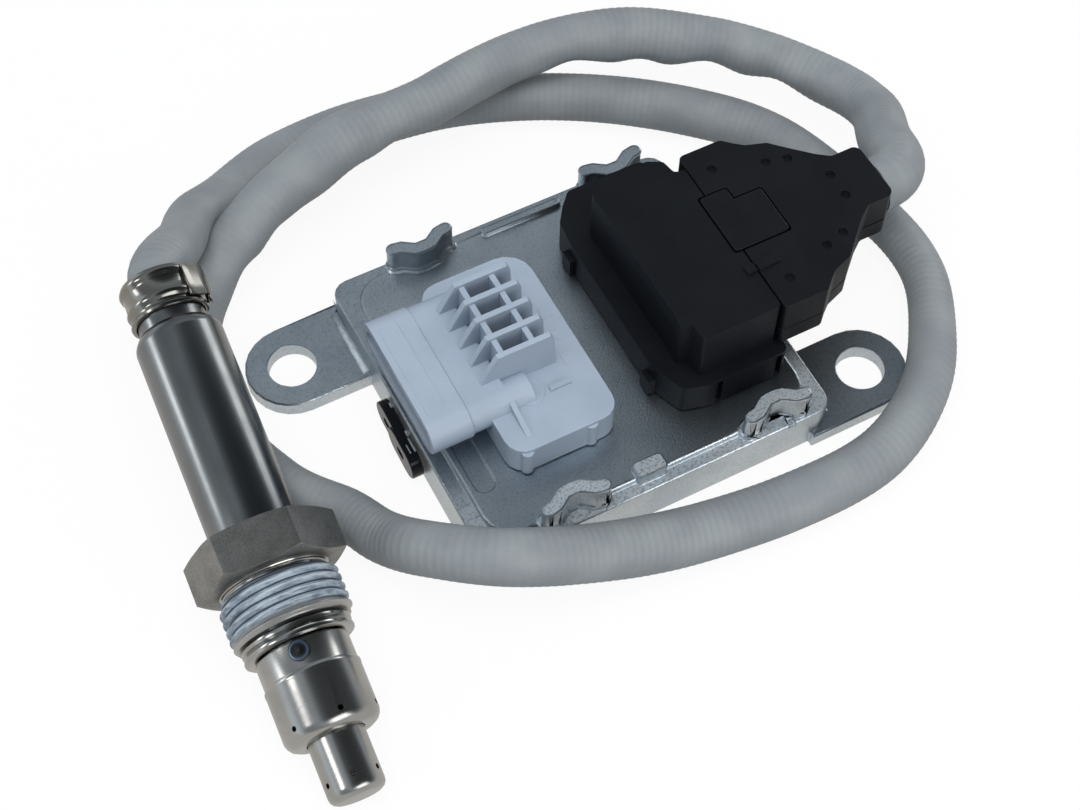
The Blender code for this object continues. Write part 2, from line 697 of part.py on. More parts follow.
def build_black_header(look, pin_look):
    """The probe header: flange, sloping shoulder and tall body with its socket towards the plug."""
    bottom = lid_top + clearance
    corners = [
        (black_left + 0.3 * mm, black_front + 7.0 * mm), (black_left + 2.5 * mm, black_front + 1.3 * mm),
        (black_left + 6.7 * mm, black_front + 0.1 * mm), (black_right, black_front),
        (black_right, body_back - 2.6 * mm), (black_right - 1.2 * mm, black_back - 1.5 * mm),
        (black_right - 2.9 * mm, black_back),
        (black_left + 5.0 * mm, black_back), (black_left + 2.65 * mm, black_back - 2.5 * mm),
        (black_left + 0.5 * mm, black_back - 5.5 * mm), (black_left, black_back - 10.6 * mm),
        (black_left, black_front + 8.5 * mm),
    ]
    flange = prism("probe_header", rounded(corners, 1.2 * mm, math.radians(30)), bottom,
                   lid_top + black_flange + 0.6 * mm)
    soften(flange, 1.3 * mm, 2)
    front = body_front
    sides = [
        (body_left + 0.3 * mm, front + 6.1 * mm), (body_left - 0.2 * mm, front + 3.8 * mm),
        (body_left + 1.8 * mm, front + 3.5 * mm), (body_left + 2.1 * mm, front),
        (body_right, front), (body_right, body_back - 4.6 * mm), (body_right - 1.9 * mm, body_back - 4.4 * mm),
        (body_right - 2.5 * mm, body_back - 1.4 * mm), (body_right - 5.0 * mm, body_back - 0.2 * mm),
        (body_left + 3.5 * mm, body_back), (body_left + 1.3 * mm, body_back - 0.6 * mm),
        (body_left, body_back - 2.4 * mm),
    ]
    body = prism("body", rounded(sides, 0.7 * mm, math.radians(45)), lid_top + black_flange - overlap, black_roof)
    soften(body, 0.7 * mm, 2)
    pieces = [body]
    for k, y in enumerate((plug_axis + 16.5 * mm, plug_axis - 11.2 * mm)):
        pieces.append(block(f"side_clip_{k}", (black_left - 0.9 * mm, black_left + overlap),
                            (y - 1.4 * mm, y + 1.4 * mm), (bottom, bottom + 3.6 * mm)))
    pieces.append(block("roof_bar", (body_right - 1.8 * mm, body_right),
                        (plug_axis - 9.2 * mm, plug_axis - 7.5 * mm),
                        (black_roof - overlap, black_roof + 0.4 * mm)))
    join(flange, *pieces)
    gap = clearance
    half = insert_width / 2 + gap
    socket = block("black_socket", (socket_left, black_right + overlap), (plug_axis - half, plug_axis + half),
                   (insert_bottom - gap, insert_top + gap), "cutters")
    under = block("black_under", (black_window[0], black_window[1] - 0.2 * mm),
                  (plug_axis - half + 1.5 * mm, plug_axis + half - 1.5 * mm),
                  (bottom - overlap, upper_pin_row + 1.2 * mm), "cutters")
    shelf = block("plug_room", (plug_front - gap, black_right + overlap),
                  (black_front - overlap, black_back + overlap),
                  (plug_bottom - gap, black_roof + overlap), "cutters")
    slots = [block(f"front_slot_{k}", (x, x + 1.2 * mm), (black_front - overlap, black_front + 1.1 * mm),
                   (bottom - overlap, lid_top + black_flange), "cutters")
             for k, x in enumerate((black_left + 8.3 * mm, black_left + 19.8 * mm))]
    channels = []
    for row in (upper_pin_row, lower_pin_row):
        for k, y in enumerate(black_pin_places()):
            size = pin_side / 2 + gap
            channels.append(block(f"channel_{row}_{k}", (black_window[1] - overlap, socket_left + overlap),
                                  (y - size, y + size), (row - size, row + size), "cutters"))
    cut(flange, socket, under, shelf, *slots, latch_room("latch_room_1", 0.0), *channels)
    finish(flange, look)
    number = 0
    for row, leg in ((upper_pin_row, upper_leg), (lower_pin_row, lower_leg)):
        for y in black_pin_places():
            number += 1
            pin = bent_pin(f"probe_pin_{number}", insert_left + 4.5 * mm, leg, row, y)
            finish(pin, pin_look)


def black_pin_places():
    return [plug_axis + (k - (black_pins_per_row - 1) / 2) * black_pin_pitch for k in range(black_pins_per_row)]


def latch_outline(inset):
    left, right = body_right - 1.45 * mm, plug_front + 9.4 * mm
    step = plug_front + 4.1 * mm
    front, back, narrow = plug_axis - 4.45 * mm, plug_axis + 8.3 * mm, plug_axis + 5.75 * mm
    corners = [(left + inset, front + inset), (right - inset, front + inset), (right - inset, narrow - inset),
               (step - inset, narrow - inset), (step - inset, back - inset), (left + inset, back - inset)]
    return rounded(corners, [0.5 * mm, 0.5 * mm, 0.5 * mm, 0.0, 0.5 * mm, 0.5 * mm], math.radians(45))


def latch_room(title, inset):
    return prism(title, latch_outline(inset), black_roof - latch_depth, black_roof + overlap, group="cutters")


def plug_outline(inset):
    """The plug's plan: wide at the connector, stepping in to the cable's neck."""
    stations = [
        (0.0, 17.6), (8.2, 17.6), (10.0, 15.9), (11.5, 14.7), (15.2, 13.4), (17.6, 11.0), (21.2, 7.6),
        (23.5, 5.9), (27.9, 5.9), (28.8, 5.0),
    ]
    scale = plug_half_width / (17.6 * mm)
    length = (plug_back - plug_front) / (28.8 * mm)
    points = []
    for x, half in stations:
        points.append((plug_front + x * mm * length, half * mm * scale - inset))
    right = [(x, plug_axis - half) for x, half in points]
    left = [(x, plug_axis + half) for x, half in reversed(points)]
    return rounded(right + left, 0.8 * mm, math.radians(45))


def build_plug(look, inner_look):
    """The mated plug: lower and upper backshell, the insert that they hold, and the latch plate."""
    gap = clearance / 2
    wide = insert_width / 2 + clearance
    inner = [(plug_front - overlap, plug_axis - wide), (insert_right + clearance, plug_axis - wide),
             (plug_front + 15.2 * mm, plug_axis - 10.4 * mm), (plug_front + 21.0 * mm, plug_axis - 4.4 * mm),
             (plug_back - 5.0 * mm, plug_axis - 4.0 * mm)]
    inner += [(x, 2 * plug_axis - y) for x, y in reversed(inner)]
    halves = (
        ("plug_shell_lower", plug_bottom, plug_seam - gap, insert_bottom - clearance, plug_seam + overlap,
         plug_bottom),
        ("plug_shell_upper", plug_seam + gap, black_roof, plug_seam - overlap, insert_top + clearance, black_roof),
    )
    for title, low, high, hollow_low, hollow_high, edge in halves:
        shell = prism(title, plug_outline(0.0), low, high)
        soften(shell, 1.0 * mm, 2, level=edge)
        if title == "plug_shell_upper":
            join(shell, block("top_bar", (plug_front + 0.1 * mm, plug_front + 4.1 * mm),
                              (plug_axis - 9.2 * mm, plug_axis - 7.5 * mm),
                              (black_roof - overlap, black_roof + 0.4 * mm)))
        cutters = [
            prism(title + "_hollow", inner, hollow_low, hollow_high, group="cutters"),
            drum(title + "_wires", (plug_back, plug_axis, cable_height), wire_hole / 2, 14.0 * mm, "X", 16,
                 group="cutters"),
        ]
        if title == "plug_shell_upper":
            cutters.append(latch_room("latch_room_2", 0.0))
            for k, (x, y) in enumerate(pit_places()):
                cutters.append(drum(f"pit_{k}", (x, y, black_roof), pit_radius, 2 * pit_depth, sides=10,
                                    group="cutters"))
        cut(shell, *cutters)
        finish(shell, look)
    half = insert_width / 2
    insert = block("plug_insert", (insert_left, insert_right), (plug_axis - half, plug_axis + half),
                   (insert_bottom, insert_top))
    bores = []
    for row in (upper_pin_row, lower_pin_row):
        for k, y in enumerate(black_pin_places()):
            size = pin_side / 2 + clearance
            bores.append(block(f"bore_{row}_{k}", (insert_left - overlap, insert_left + 5.2 * mm),
                               (y - size, y + size), (row - size, row + size), "cutters"))
    cut(insert, *bores)
    finish(insert, inner_look)
    low = black_roof - latch_depth + clearance
    latch = prism("plug_latch", latch_outline(clearance), low, low + latch_thickness)
    soften(latch, 0.2 * mm)
    finish(latch, look)


def pit_places():
    """Round pits in the upper backshell, along both of its shoulders."""
    side = [(3.8, 12.65), (12.75, 9.8), (16.5, 8.8), (21.1, 2.4)]
    return [(plug_front + x * mm, plug_axis + s * y * mm) for x, y in side for s in (1, -1)]


def build_clip(look):
    """The two-lobed clip on the left wall under the grey header's mouth."""
    outer = capsule((-4.6 * mm, 3.4 * mm), (-0.4 * mm, 3.8 * mm), 2.9 * mm, 8)
    rear = capsule((1.4 * mm, 4.2 * mm), (4.8 * mm, 4.6 * mm), 2.7 * mm, 8)
    wall_x = -housing_length / 2
    low, high = wall_x - clearance - 2.1 * mm, wall_x - clearance
    clip = prism("wall_clip", outer, low, high, "side")
    soften(clip, 0.5 * mm, 2, axis=0, level=low)
    other = prism("clip_rear", rear, low + 0.3 * mm, high, "side")
    soften(other, 0.5 * mm, 2, axis=0, level=low + 0.3 * mm)
    join(clip, other)
    cut(clip, *[prism(f"clip_eye_{k}", capsule((y, z), (y + 1.0 * mm, z), 0.8 * mm, 5), low - overlap,
                      high + overlap, "side", group="cutters")
                for k, (y, z) in enumerate(((-3.0 * mm, 3.7 * mm), (2.8 * mm, 4.4 * mm)))])
    return finish(clip, look)


def smooth_route(points, count, arrival):
    """Evenly spaced points on a smooth curve through the route, which ends along the arrival direction."""
    route = [Vector(p) for p in points]
    last = route[-2] - route[-1]
    route = [2 * route[0] - route[1], *route, route[-2] - 2 * last.dot(arrival) * arrival]
    fine = []
    for a, b, c, d in zip(route, route[1:], route[2:], route[3:]):
        for k in range(16):
            t = k / 16
            fine.append(0.5 * (2 * b + (c - a) * t + (2 * a - 5 * b + 4 * c - d) * t * t
                               + (3 * b - a - 3 * c + d) * t * t * t))
    fine.append(route[-2])
    lengths = [0.0]
    for a, b in zip(fine, fine[1:]):
        lengths.append(lengths[-1] + (b - a).length)
    even, at = [], 0
    for k in range(count):
        goal = lengths[-1] * k / (count - 1)
        while at < len(lengths) - 2 and lengths[at + 1] < goal:
            at += 1
        share = (goal - lengths[at]) / (lengths[at + 1] - lengths[at])
        even.append(fine[at].lerp(fine[at + 1], share))
    return even


def build_sleeve(look):
    """The sleeved cable from the probe's clamp, round the unit and back into the plug."""
    frame = probe_frame()
    start = frame @ Vector((0, 0, -clamp_start - 1.2 * mm))
    exit_point = frame @ Vector((0, 0, -clamp_start - clamp_width - 2.0 * mm))
    end = Vector((plug_back + clearance, plug_axis, cable_height))
    approach = end + Vector((plug_approach, 0, 0))
    points = [start, exit_point, *[Vector(p) * mm for p in cable_route], approach]
    curve = bpy.data.curves.new("sleeve", "CURVE")
    curve.dimensions = "3D"
    curve.bevel_depth = sleeve_diameter / 2
    curve.bevel_resolution = 3
    curve.use_fill_caps = True
    route = [*smooth_route(points, 75, Vector((-1, 0, 0))), end]
    spline = curve.splines.new("POLY")
    spline.points.add(len(route) - 1)
    lowest = base_level + sleeve_diameter / 2 + 0.1 * mm
    for point, place in zip(spline.points, route):
        point.co = (place.x, place.y, max(place.z, lowest), 1.0)
    sleeve = add_object("sleeve", curve)
    sleeve.data.materials.append(look)
    return sleeve


def probe_frame():
    """World matrix of the probe: its Z axis runs through the probe towards the tip."""
    heading = Vector((-math.sin(probe_heading), -math.cos(probe_heading), 0.0))
    up = Vector((0, 0, 1))
    along = heading * math.cos(probe_tilt) - up * math.sin(probe_tilt)
    over = heading * math.sin(probe_tilt) + up * math.cos(probe_tilt)
    side = over.cross(along)
    frame = Matrix((side, over, along)).transposed().to_4x4()
    frame.translation = probe_point
    return frame @ Matrix.Rotation(probe_roll, 4, "Z")


def build_probe(steel, dark_steel, nut_look, rubber, ceramic, axis_empty):
    """The probe's pieces, turned round the empty's Z axis."""
    front_face = thread_start + thread_length
    collar_front = front_face + clearance + collar_width
    shell = turned("metal_shell", [
        (shell_bore, collar_front + spigot_length),
        (shield_radius - shield_wall - clearance, collar_front + spigot_length),
        (shield_radius - shield_wall - clearance, collar_front), (collar_radius - 0.3 * mm, collar_front),
        (collar_radius, collar_front - 0.4 * mm), (collar_radius, collar_front - 0.9 * mm),
        (collar_radius - 0.5 * mm, collar_front - 1.2 * mm), (collar_radius - 0.1 * mm, collar_front - 1.5 * mm),
        (collar_radius - 0.1 * mm, front_face + clearance),
        (shell_radius, front_face + clearance), (shell_radius, -hex_length / 2 - 0.6 * mm),
        (shell_neck_radius, -hex_length / 2 - 0.6 * mm), (shell_neck_radius, -shell_rear),
        (shell_bore, -shell_rear),
    ])
    finish(shell, steel)
    half = hex_length / 2
    tube_front = -half - 0.6 * mm - clearance
    inner = shell_radius - tube_wall
    round_over = arc(shell_radius - tube_shoulder, -tube_end + tube_shoulder, tube_shoulder, 0, -70, 4)
    neck_back = -tube_end - tube_neck_length
    tube = turned("rear_tube", [
        (inner, tube_front), (shell_radius, tube_front), *round_over,
        (tube_neck_radius - 0.3 * mm, -tube_end), (tube_neck_radius - 0.3 * mm, -clamp_start + 0.6 * mm),
        (tube_neck_radius, -clamp_start + 0.2 * mm),
        (tube_neck_radius, neck_back), (sleeve_diameter / 2 + clearance + 0.1 * mm, neck_back),
        (sleeve_diameter / 2 + clearance + 0.1 * mm, -tube_end + 1.0 * mm), (inner, -tube_end + tube_shoulder),
    ])
    finish(tube, dark_steel)
    build_clamp(steel, neck_back)
    grommet_back = -tube_end + tube_shoulder + clearance
    grommet = turned("cable_grommet", [
        (0.0, grommet_back + grommet_length), (inner - clearance, grommet_back + grommet_length),
        (inner - clearance, grommet_back), (0.0, grommet_back)])
    finish(grommet, rubber)
    bush_front, bush_back = -shell_rear - clearance, grommet_back + grommet_length + clearance
    bush = turned("ceramic_bush", [
        (0.0, bush_front), (inner - clearance, bush_front), (inner - clearance, bush_back), (0.0, bush_back)])
    wide, thin = element_width / 2, element_thickness / 2
    cut(bush, block("element_slot", (-wide - clearance, wide + clearance), (-thin - clearance, thin + clearance),
                    (bush_front - 14.0 * mm, bush_front + overlap), "cutters"))
    finish(bush, ceramic)
    element = block("sensing_element", (-wide, wide), (-thin, thin),
                    (bush_front - 14.0 * mm + clearance, tip_end - 3.5 * mm))
    finish(element, ceramic)
    nut = build_nut(front_face, nut_look)
    shields = build_shields(collar_front, steel)
    for piece in (shell, tube, grommet, bush, element, nut, *shields, bpy.data.objects["cable_clamp"]):
        piece.parent = axis_empty


def build_nut(front_face, look):
    """The captive hexagon with its threaded sleeve, free to turn round the metal shell."""
    half, radius = hex_length / 2, hex_across / 2 / math.cos(math.pi / 6)
    points = [(radius * math.cos(math.pi / 3 * k), radius * math.sin(math.pi / 3 * k)) for k in range(6)]
    hexagon = prism("union_nut", points, -half, half)
    chamfer = turned("chamfer", [
        (0.0, half + 0.01 * mm), (hex_across / 2 - 0.3 * mm, half + 0.01 * mm),
        (radius + 0.1 * mm, half - 1.0 * mm),
        (radius + 0.1 * mm, -half + 0.7 * mm), (hex_across / 2 - 0.1 * mm, -half - 0.01 * mm),
        (0.0, -half - 0.01 * mm)], 36)
    combine(hexagon, [chamfer], "INTERSECT")
    grooves = []
    for k in range(4):
        middle = front_face - thread_pitch * (k + 1)
        for reach, offset in ((thread_radius, 0.38), (thread_radius - thread_depth, 0.06),
                              (thread_radius - thread_depth, -0.06), (thread_radius, -0.38)):
            grooves.append((reach, middle + offset * thread_pitch))
    body = turned("threaded", [
        (0.0, front_face), (thread_radius - 0.8 * mm, front_face), (thread_radius, front_face - 0.8 * mm),
        *grooves, (thread_radius, thread_start + 0.7 * mm), (thread_radius - 0.9 * mm, thread_start),
        (neck_radius, thread_start), (neck_radius, half + 1.4 * mm), (neck_radius + 0.5 * mm, half + 1.0 * mm),
        (neck_radius + 0.5 * mm, half - overlap), (0.0, half - overlap)], 32)
    join(hexagon, body)
    bore = drum("nut_bore", (0, 0, (front_face - half) / 2), shell_radius + turning_gap,
                front_face + half + 4 * overlap, sides=32, group="cutters")
    cut(hexagon, bore)
    return finish(hexagon, look)


def build_clamp(look, neck_back):
    """The crimped ring that holds the sleeve on the tube's neck, with its overlapping ear."""
    back = -clamp_start - clamp_width
    bead = clamp_radius + clamp_bead
    ring = turned("cable_clamp", [
        (tube_neck_radius + clearance, -clamp_start), (clamp_radius, -clamp_start),
        (bead, -clamp_start - 0.4 * mm), (bead, -clamp_start - 1.2 * mm), (clamp_radius, -clamp_start - 1.6 * mm),
        (clamp_radius, back + 1.6 * mm), (bead, back + 1.2 * mm), (bead, back + 0.4 * mm), (clamp_radius, back),
        (sleeve_diameter / 2 + clearance + 0.1 * mm, back),
        (sleeve_diameter / 2 + clearance + 0.1 * mm, neck_back - clearance),
        (tube_neck_radius + clearance, neck_back - clearance),
    ])
    ear = block("ear", (clamp_radius - 0.9 * mm, clamp_radius + 1.1 * mm), (-2.0 * mm, 2.0 * mm),
                (back + 0.5 * mm, -clamp_start - 0.5 * mm))
    ear.data.transform(Matrix.Rotation(math.radians(38), 4, "Z"))
    join(ring, ear)
    return finish(ring, look)


def build_shields(collar_front, look):
    """The outer shield with its gas holes, and the inner tip that passes through its end."""
    back = collar_front + clearance
    front = back + shield_length
    hole = tip_radius + clearance
    inner = shield_radius - shield_wall
    step = back + 3.6 * mm
    outer = turned("outer_shield", [
        (hole, front), (shield_radius - 2.2 * mm, front),
        *arc(shield_radius - 1.6 * mm, front - 1.7 * mm, 1.6 * mm, 70, 0, 3),
        (shield_radius, step + 0.9 * mm), (shield_radius + 0.12 * mm, step + 0.6 * mm),
        (shield_radius + 0.12 * mm, step), (shield_radius, step - 0.3 * mm), (shield_radius, back),
        (inner, back), (inner, front - 1.5 * mm), (hole, front - shield_wall - 0.2 * mm)])
    cut(outer, *gas_holes("outer_gas", shield_radius, front - 3.0 * mm, 6, 0.0))
    finish(outer, look)
    seat = collar_front + spigot_length + clearance
    body = tip_radius - tip_wall
    tip = turned("inner_shield", [
        (0.0, tip_end), (tip_radius - 1.6 * mm, tip_end),
        *arc(tip_radius - 1.5 * mm, tip_end - 1.5 * mm, 1.5 * mm, 75, 0, 3),
        (tip_radius, seat + 0.8 * mm), (inner - clearance, seat + 0.8 * mm), (inner - clearance, seat),
        (body, seat), (body, tip_end - 1.4 * mm), (0.0, tip_end - tip_wall)])
    cut(tip, *gas_holes("tip_gas", tip_radius, tip_end - 3.6 * mm, 6, 30.0))
    finish(tip, look)
    return outer, tip


def gas_holes(title, radius, height, count, offset):
    cutters = []
    for k in range(count):
        angle = math.radians(offset) + 2 * math.pi * k / count
        hole = drum(f"{title}_{k}", (0, 0, 0), gas_hole / 2, 3.0 * mm, "X", 8, group="cutters")
        hole.data.transform(Matrix.Rotation(angle, 4, "Z") @ Matrix.Translation((radius, 0, height)))
        cutters.append(hole)
    return cutters


def main():
    start_scene()
    cast = material("cast_aluminium", (0.45, 0.50, 0.53), 0.42, 1.0)
    grey = material("grey_plastic", (0.60, 0.66, 0.71), 0.55)
    black = material("black_plastic", (0.03, 0.032, 0.035), 0.5)
    gloss = material("black_gloss", (0.012, 0.012, 0.013), 0.2)
    steel = material("bright_steel", (0.50, 0.49, 0.46), 0.28, 1.0)
    dark_steel = material("dark_steel", (0.22, 0.24, 0.25), 0.35, 1.0)
    sleeve_look = material("sleeve_grey", (0.34, 0.38, 0.41), 0.75)
    rubber = material("rubber", (0.03, 0.03, 0.03), 0.8)
    ceramic = material("ceramic", (0.85, 0.84, 0.80), 0.5)
    board = material("board_green", (0.03, 0.16, 0.07), 0.45)
    brass = material("pin_brass", (0.72, 0.55, 0.25), 0.3, 1.0)

    build_housing(cast)
    build_inside(steel, rubber, board, black)
    build_grey_header(grey, brass)
    build_black_header(black, brass)
    build_plug(black, grey)
    build_clip(gloss)
    build_sleeve(sleeve_look)

    axis_empty = bpy.data.objects.new("probe_axis", None)
    bpy.data.collections["nitrogen_oxide_sensor"].objects.link(axis_empty)
    axis_empty.empty_display_size = 0.02
    build_probe(steel, dark_steel, steel, rubber, ceramic, axis_empty)
    axis_empty.matrix_world = probe_frame()
    bpy.context.view_layer.update()


main()
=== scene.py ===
# Looks of the nitrogen oxide sensor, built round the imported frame. Metres, +Z up.
import math

import bpy
from mathutils import Matrix, Vector, noise


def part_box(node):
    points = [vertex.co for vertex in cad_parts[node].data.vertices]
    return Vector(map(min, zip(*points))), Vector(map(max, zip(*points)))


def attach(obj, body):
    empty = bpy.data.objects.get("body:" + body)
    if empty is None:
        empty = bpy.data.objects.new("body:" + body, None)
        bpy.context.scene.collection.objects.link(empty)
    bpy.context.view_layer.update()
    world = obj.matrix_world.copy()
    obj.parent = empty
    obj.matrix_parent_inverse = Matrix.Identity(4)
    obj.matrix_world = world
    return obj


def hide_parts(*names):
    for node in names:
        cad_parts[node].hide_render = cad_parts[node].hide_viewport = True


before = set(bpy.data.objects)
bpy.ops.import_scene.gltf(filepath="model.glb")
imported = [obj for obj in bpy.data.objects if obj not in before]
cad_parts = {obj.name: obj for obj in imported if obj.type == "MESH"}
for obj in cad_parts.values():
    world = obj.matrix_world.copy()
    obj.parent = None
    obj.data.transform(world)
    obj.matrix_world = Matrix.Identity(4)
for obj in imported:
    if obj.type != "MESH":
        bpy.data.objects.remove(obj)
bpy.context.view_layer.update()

bpy.ops.object.select_all(action="DESELECT")
mm = 0.001
clearance = 0.3 * mm  # gap between pieces that seat on each other

camera = {
    "place": (-95.094 * mm, -159.229 * mm, 289.452 * mm),
    "azimuth": -28.935, "elevation": 58.324, "roll": 1.369,  # degrees
    "lens": 65.24, "sensor": 36.0,  # millimetres
    "nearest": 0.01, "furthest": 20.0,
}
studio = {
    "darkSide": (0.225, -0.15, 0.42),  # the sky is darkest over the object's right half
    "sky": [  # how bright, from the far side (0) to the dark one (1)
        (0.0, 0.9), (0.375, 0.9), (0.45, 0.30), (0.65, 0.34), (0.79, 0.48), (0.805, 0.46),
        (0.84, 0.22), (0.875, 0.12), (0.90, 0.07), (1.0, 0.04),
    ],
    "skyTint": (0.86, 0.95, 1.04),
    "floorSize": 6.0, "floorLevel": -0.05 * mm,
    "floorTone": 0.5,  # the paper's own grey, which soft light comes back from
    "floorShare": 0.86,  # how much of it glows instead, to the camera and in reflections
    "floorGlow": 1.07,  # how bright it glows to the camera
    "floorShine": 0.66,  # and in reflections
    "shineTint": (1.0, 0.975, 0.94),
    "lamps": [  # name, place, aims at, width, height, watts, seen in reflections
        ("leftLamp", (-0.80, -0.03, 0.58), (-0.05, 0.0, 0.0), 0.30, 0.20, 0.9, True),
        ("cornerLamp", (-0.80, 0.45, 0.26), (0.0, 0.0, 0.0), 0.34, 0.16, 0.5, True),
        ("frontLamp", (0.18, -0.80, 0.44), (0.0, 0.0, 0.0), 0.62, 0.50, 2.8, True),
        ("topFill", (-0.08, -0.15, 0.75), (0.0, 0.0, 0.0), 0.6, 0.6, 4.6, False),
        ("rightFill", (0.60, 0.10, 0.40), (0.0, 0.0, 0.0), 0.5, 0.5, 0.8, False),
        ("nutLamp", (0.62, 0.30, 0.20), (-0.07, -0.02, 0.01), 0.30, 0.24, 0.5, True),
    ],
}


def screenColour(colour):  # a colour as it is seen on a screen, made linear
    return tuple(((c + 0.055) / 1.055) ** 2.4 if c > 0.04045 else c / 12.92 for c in colour)


# Shader maths: a Wire is one output socket, and sums of wires add their Math nodes

class Wire:
    def __init__(self, nodes, socket):
        self.nodes = nodes
        self.socket = socket

    def maths(self, operation, *others):
        return self.nodes.node("ShaderNodeMath", {"operation": operation},
                               dict(enumerate((self, *others))))

    def __add__(self, other):
        return self.maths("ADD", other)

    __radd__ = __add__

    def __mul__(self, other):
        return self.maths("MULTIPLY", other)

    __rmul__ = __mul__

    def __sub__(self, other):
        return self.maths("SUBTRACT", other)

    def __rsub__(self, other):
        return (self * -1.0) + other

    def __truediv__(self, other):
        return self.maths("DIVIDE", other)

    def between(self, low, high):  # 0 at low, 1 at high, held outside them
        return self.nodes.node("ShaderNodeMapRange", {"interpolation_type": "SMOOTHSTEP"},
                               {"Value": self, "From Min": low, "From Max": high})


class Nodes:  # adds nodes to one tree
    def __init__(self, tree):
        self.tree = tree

    def node(self, kind, settings=None, values=None, output=0):
        made = self.tree.nodes.new(kind)
        for key, value in (settings or {}).items():
            if key == "stops":
                self.stops(made.color_ramp, value)
            else:
                setattr(made, key, value)
        for key, value in (values or {}).items():
            self.plug(made.inputs[key], value)
        return Wire(self, made.outputs[output])

    def stops(self, ramp, stops):
        while len(ramp.elements) < len(stops):
            ramp.elements.new(0.5)
        for element, (place, colour) in zip(ramp.elements, stops):
            element.position = place
            element.color = (*colour, 1.0)

    def plug(self, socket, value):
        if isinstance(value, Wire):
            self.tree.links.new(value.socket, socket)
        elif socket.type == "RGBA":
            socket.default_value = (*value, 1.0)
        else:
            socket.default_value = value

    def mix(self, share, first, second):
        return self.node("ShaderNodeMix", {"data_type": "RGBA"}, {0: share, 6: first, 7: second},
                         output=2)


class Finish(Nodes):  # one material: its nodes and its Principled shader
    def __init__(self, name, colour, roughness, metallic=0.0):
        self.material = bpy.data.materials.new(name)
        self.material.use_nodes = True
        super().__init__(self.material.node_tree)
        self.shader = self.tree.nodes["Principled BSDF"]
        self.set("Base Color", colour)
        self.set("Roughness", roughness)
        self.set("Metallic", metallic)

    def set(self, socket, value):
        self.plug(self.shader.inputs[socket], value)

    def place(self, turn=None, stretch=(1.0, 1.0, 1.0)):  # where on the object, in metres
        spot = self.node("ShaderNodeTexCoord", output="Object")
        if turn is not None:
            spot = self.node("ShaderNodeMapping", {"vector_type": "TEXTURE"}, {
                "Vector": spot, "Location": turn.translation, "Rotation": turn.to_euler()})
        return self.node("ShaderNodeVectorMath", {"operation": "MULTIPLY"}, {0: spot, 1: stretch})

    def attribute(self, name):  # a number that the mesh carries
        return self.node("ShaderNodeAttribute", {"attribute_name": name}, output="Fac")

    def grain(self, size, spot=None, detail=2.0, roughness=0.5):  # noise of this size, 0 to 1
        return self.node("ShaderNodeTexNoise", {"noise_dimensions": "3D"}, {
            "Vector": spot or self.place(), "Scale": 1.0 / size, "Detail": detail,
            "Roughness": roughness})

    def bump(self, height, depth):
        self.set("Normal", self.node("ShaderNodeBump", {}, {
            "Height": height, "Distance": depth, "Strength": 1.0}))


# Modelling helpers

def select(piece):
    bpy.ops.object.select_all(action="DESELECT")
    piece.hide_set(False)
    piece.select_set(True)
    bpy.context.view_layer.objects.active = piece


def applyModifiers(piece):
    select(piece)
    for modifier in list(piece.modifiers):
        bpy.ops.object.modifier_apply(modifier=modifier.name)


def settle(piece, place=None, smooth=35.0):  # puts the place into the mesh, and shades it
    select(piece)
    if place is not None:
        piece.matrix_world = place @ piece.matrix_world
    bpy.ops.object.transform_apply(location=True, rotation=True, scale=True)
    bpy.ops.object.shade_smooth_by_angle(angle=math.radians(smooth))
    return piece


def closeSeams(piece, gap=0.002 * mm):
    select(piece)
    bpy.ops.object.mode_set(mode="EDIT")
    bpy.ops.mesh.select_all(action="SELECT")
    bpy.ops.mesh.remove_doubles(threshold=gap)
    bpy.ops.mesh.normals_make_consistent(inside=False)
    bpy.ops.object.mode_set(mode="OBJECT")


def selectFace(piece, rank):  # of all the faces, only the one that ranks highest
    select(piece)
    bpy.ops.object.mode_set(mode="EDIT")
    bpy.ops.mesh.select_mode(type="FACE")
    bpy.ops.mesh.select_all(action="DESELECT")
    bpy.ops.object.mode_set(mode="OBJECT")
    face = max(piece.data.polygons, key=rank)
    face.select = True
    return face


def bevel(piece, width, segments=2, angle=35.0, held=True):  # held back where edges lie close
    edge = piece.modifiers.new("roundedEdges", "BEVEL")
    edge.use_clamp_overlap = held
    edge.width = width
    edge.segments = segments
    edge.limit_method = "ANGLE"
    edge.angle_limit = math.radians(angle)
    applyModifiers(piece)


def boolean(piece, other, operation="DIFFERENCE"):
    made = piece.modifiers.new("joinOrCut", "BOOLEAN")
    made.operation = operation
    made.object = other
    made.solver = "EXACT"
    applyModifiers(piece)
    bpy.data.objects.remove(other, do_unlink=True)


def turnPiece(name, outline, sides=96, capped=False):
    # a ring, extruded and scaled along its outline of radius and level, in millimetres
    radius, level = (value * mm for value in outline[0])
    bpy.ops.mesh.primitive_circle_add(vertices=sides, radius=radius, location=(0, 0, level),
                                      fill_type="NGON" if capped else "NOTHING")
    piece = bpy.context.object
    piece.name = name
    bpy.ops.object.transform_apply(location=True)
    bpy.ops.object.mode_set(mode="EDIT")
    bpy.ops.mesh.select_mode(type="EDGE")
    for newRadius, newLevel in ((r * mm, z * mm) for r, z in outline[1:]):
        bpy.ops.mesh.extrude_edges_move(TRANSFORM_OT_translate={"value": (0, 0, newLevel - level)})
        grow = newRadius / radius
        bpy.ops.transform.resize(value=(grow, grow, 1.0), center_override=(0, 0, newLevel))
        radius, level = newRadius, newLevel
    if capped:
        bpy.ops.mesh.edge_face_add()
    bpy.ops.object.mode_set(mode="OBJECT")
    closeSeams(piece, 0.001 * mm)
    return piece


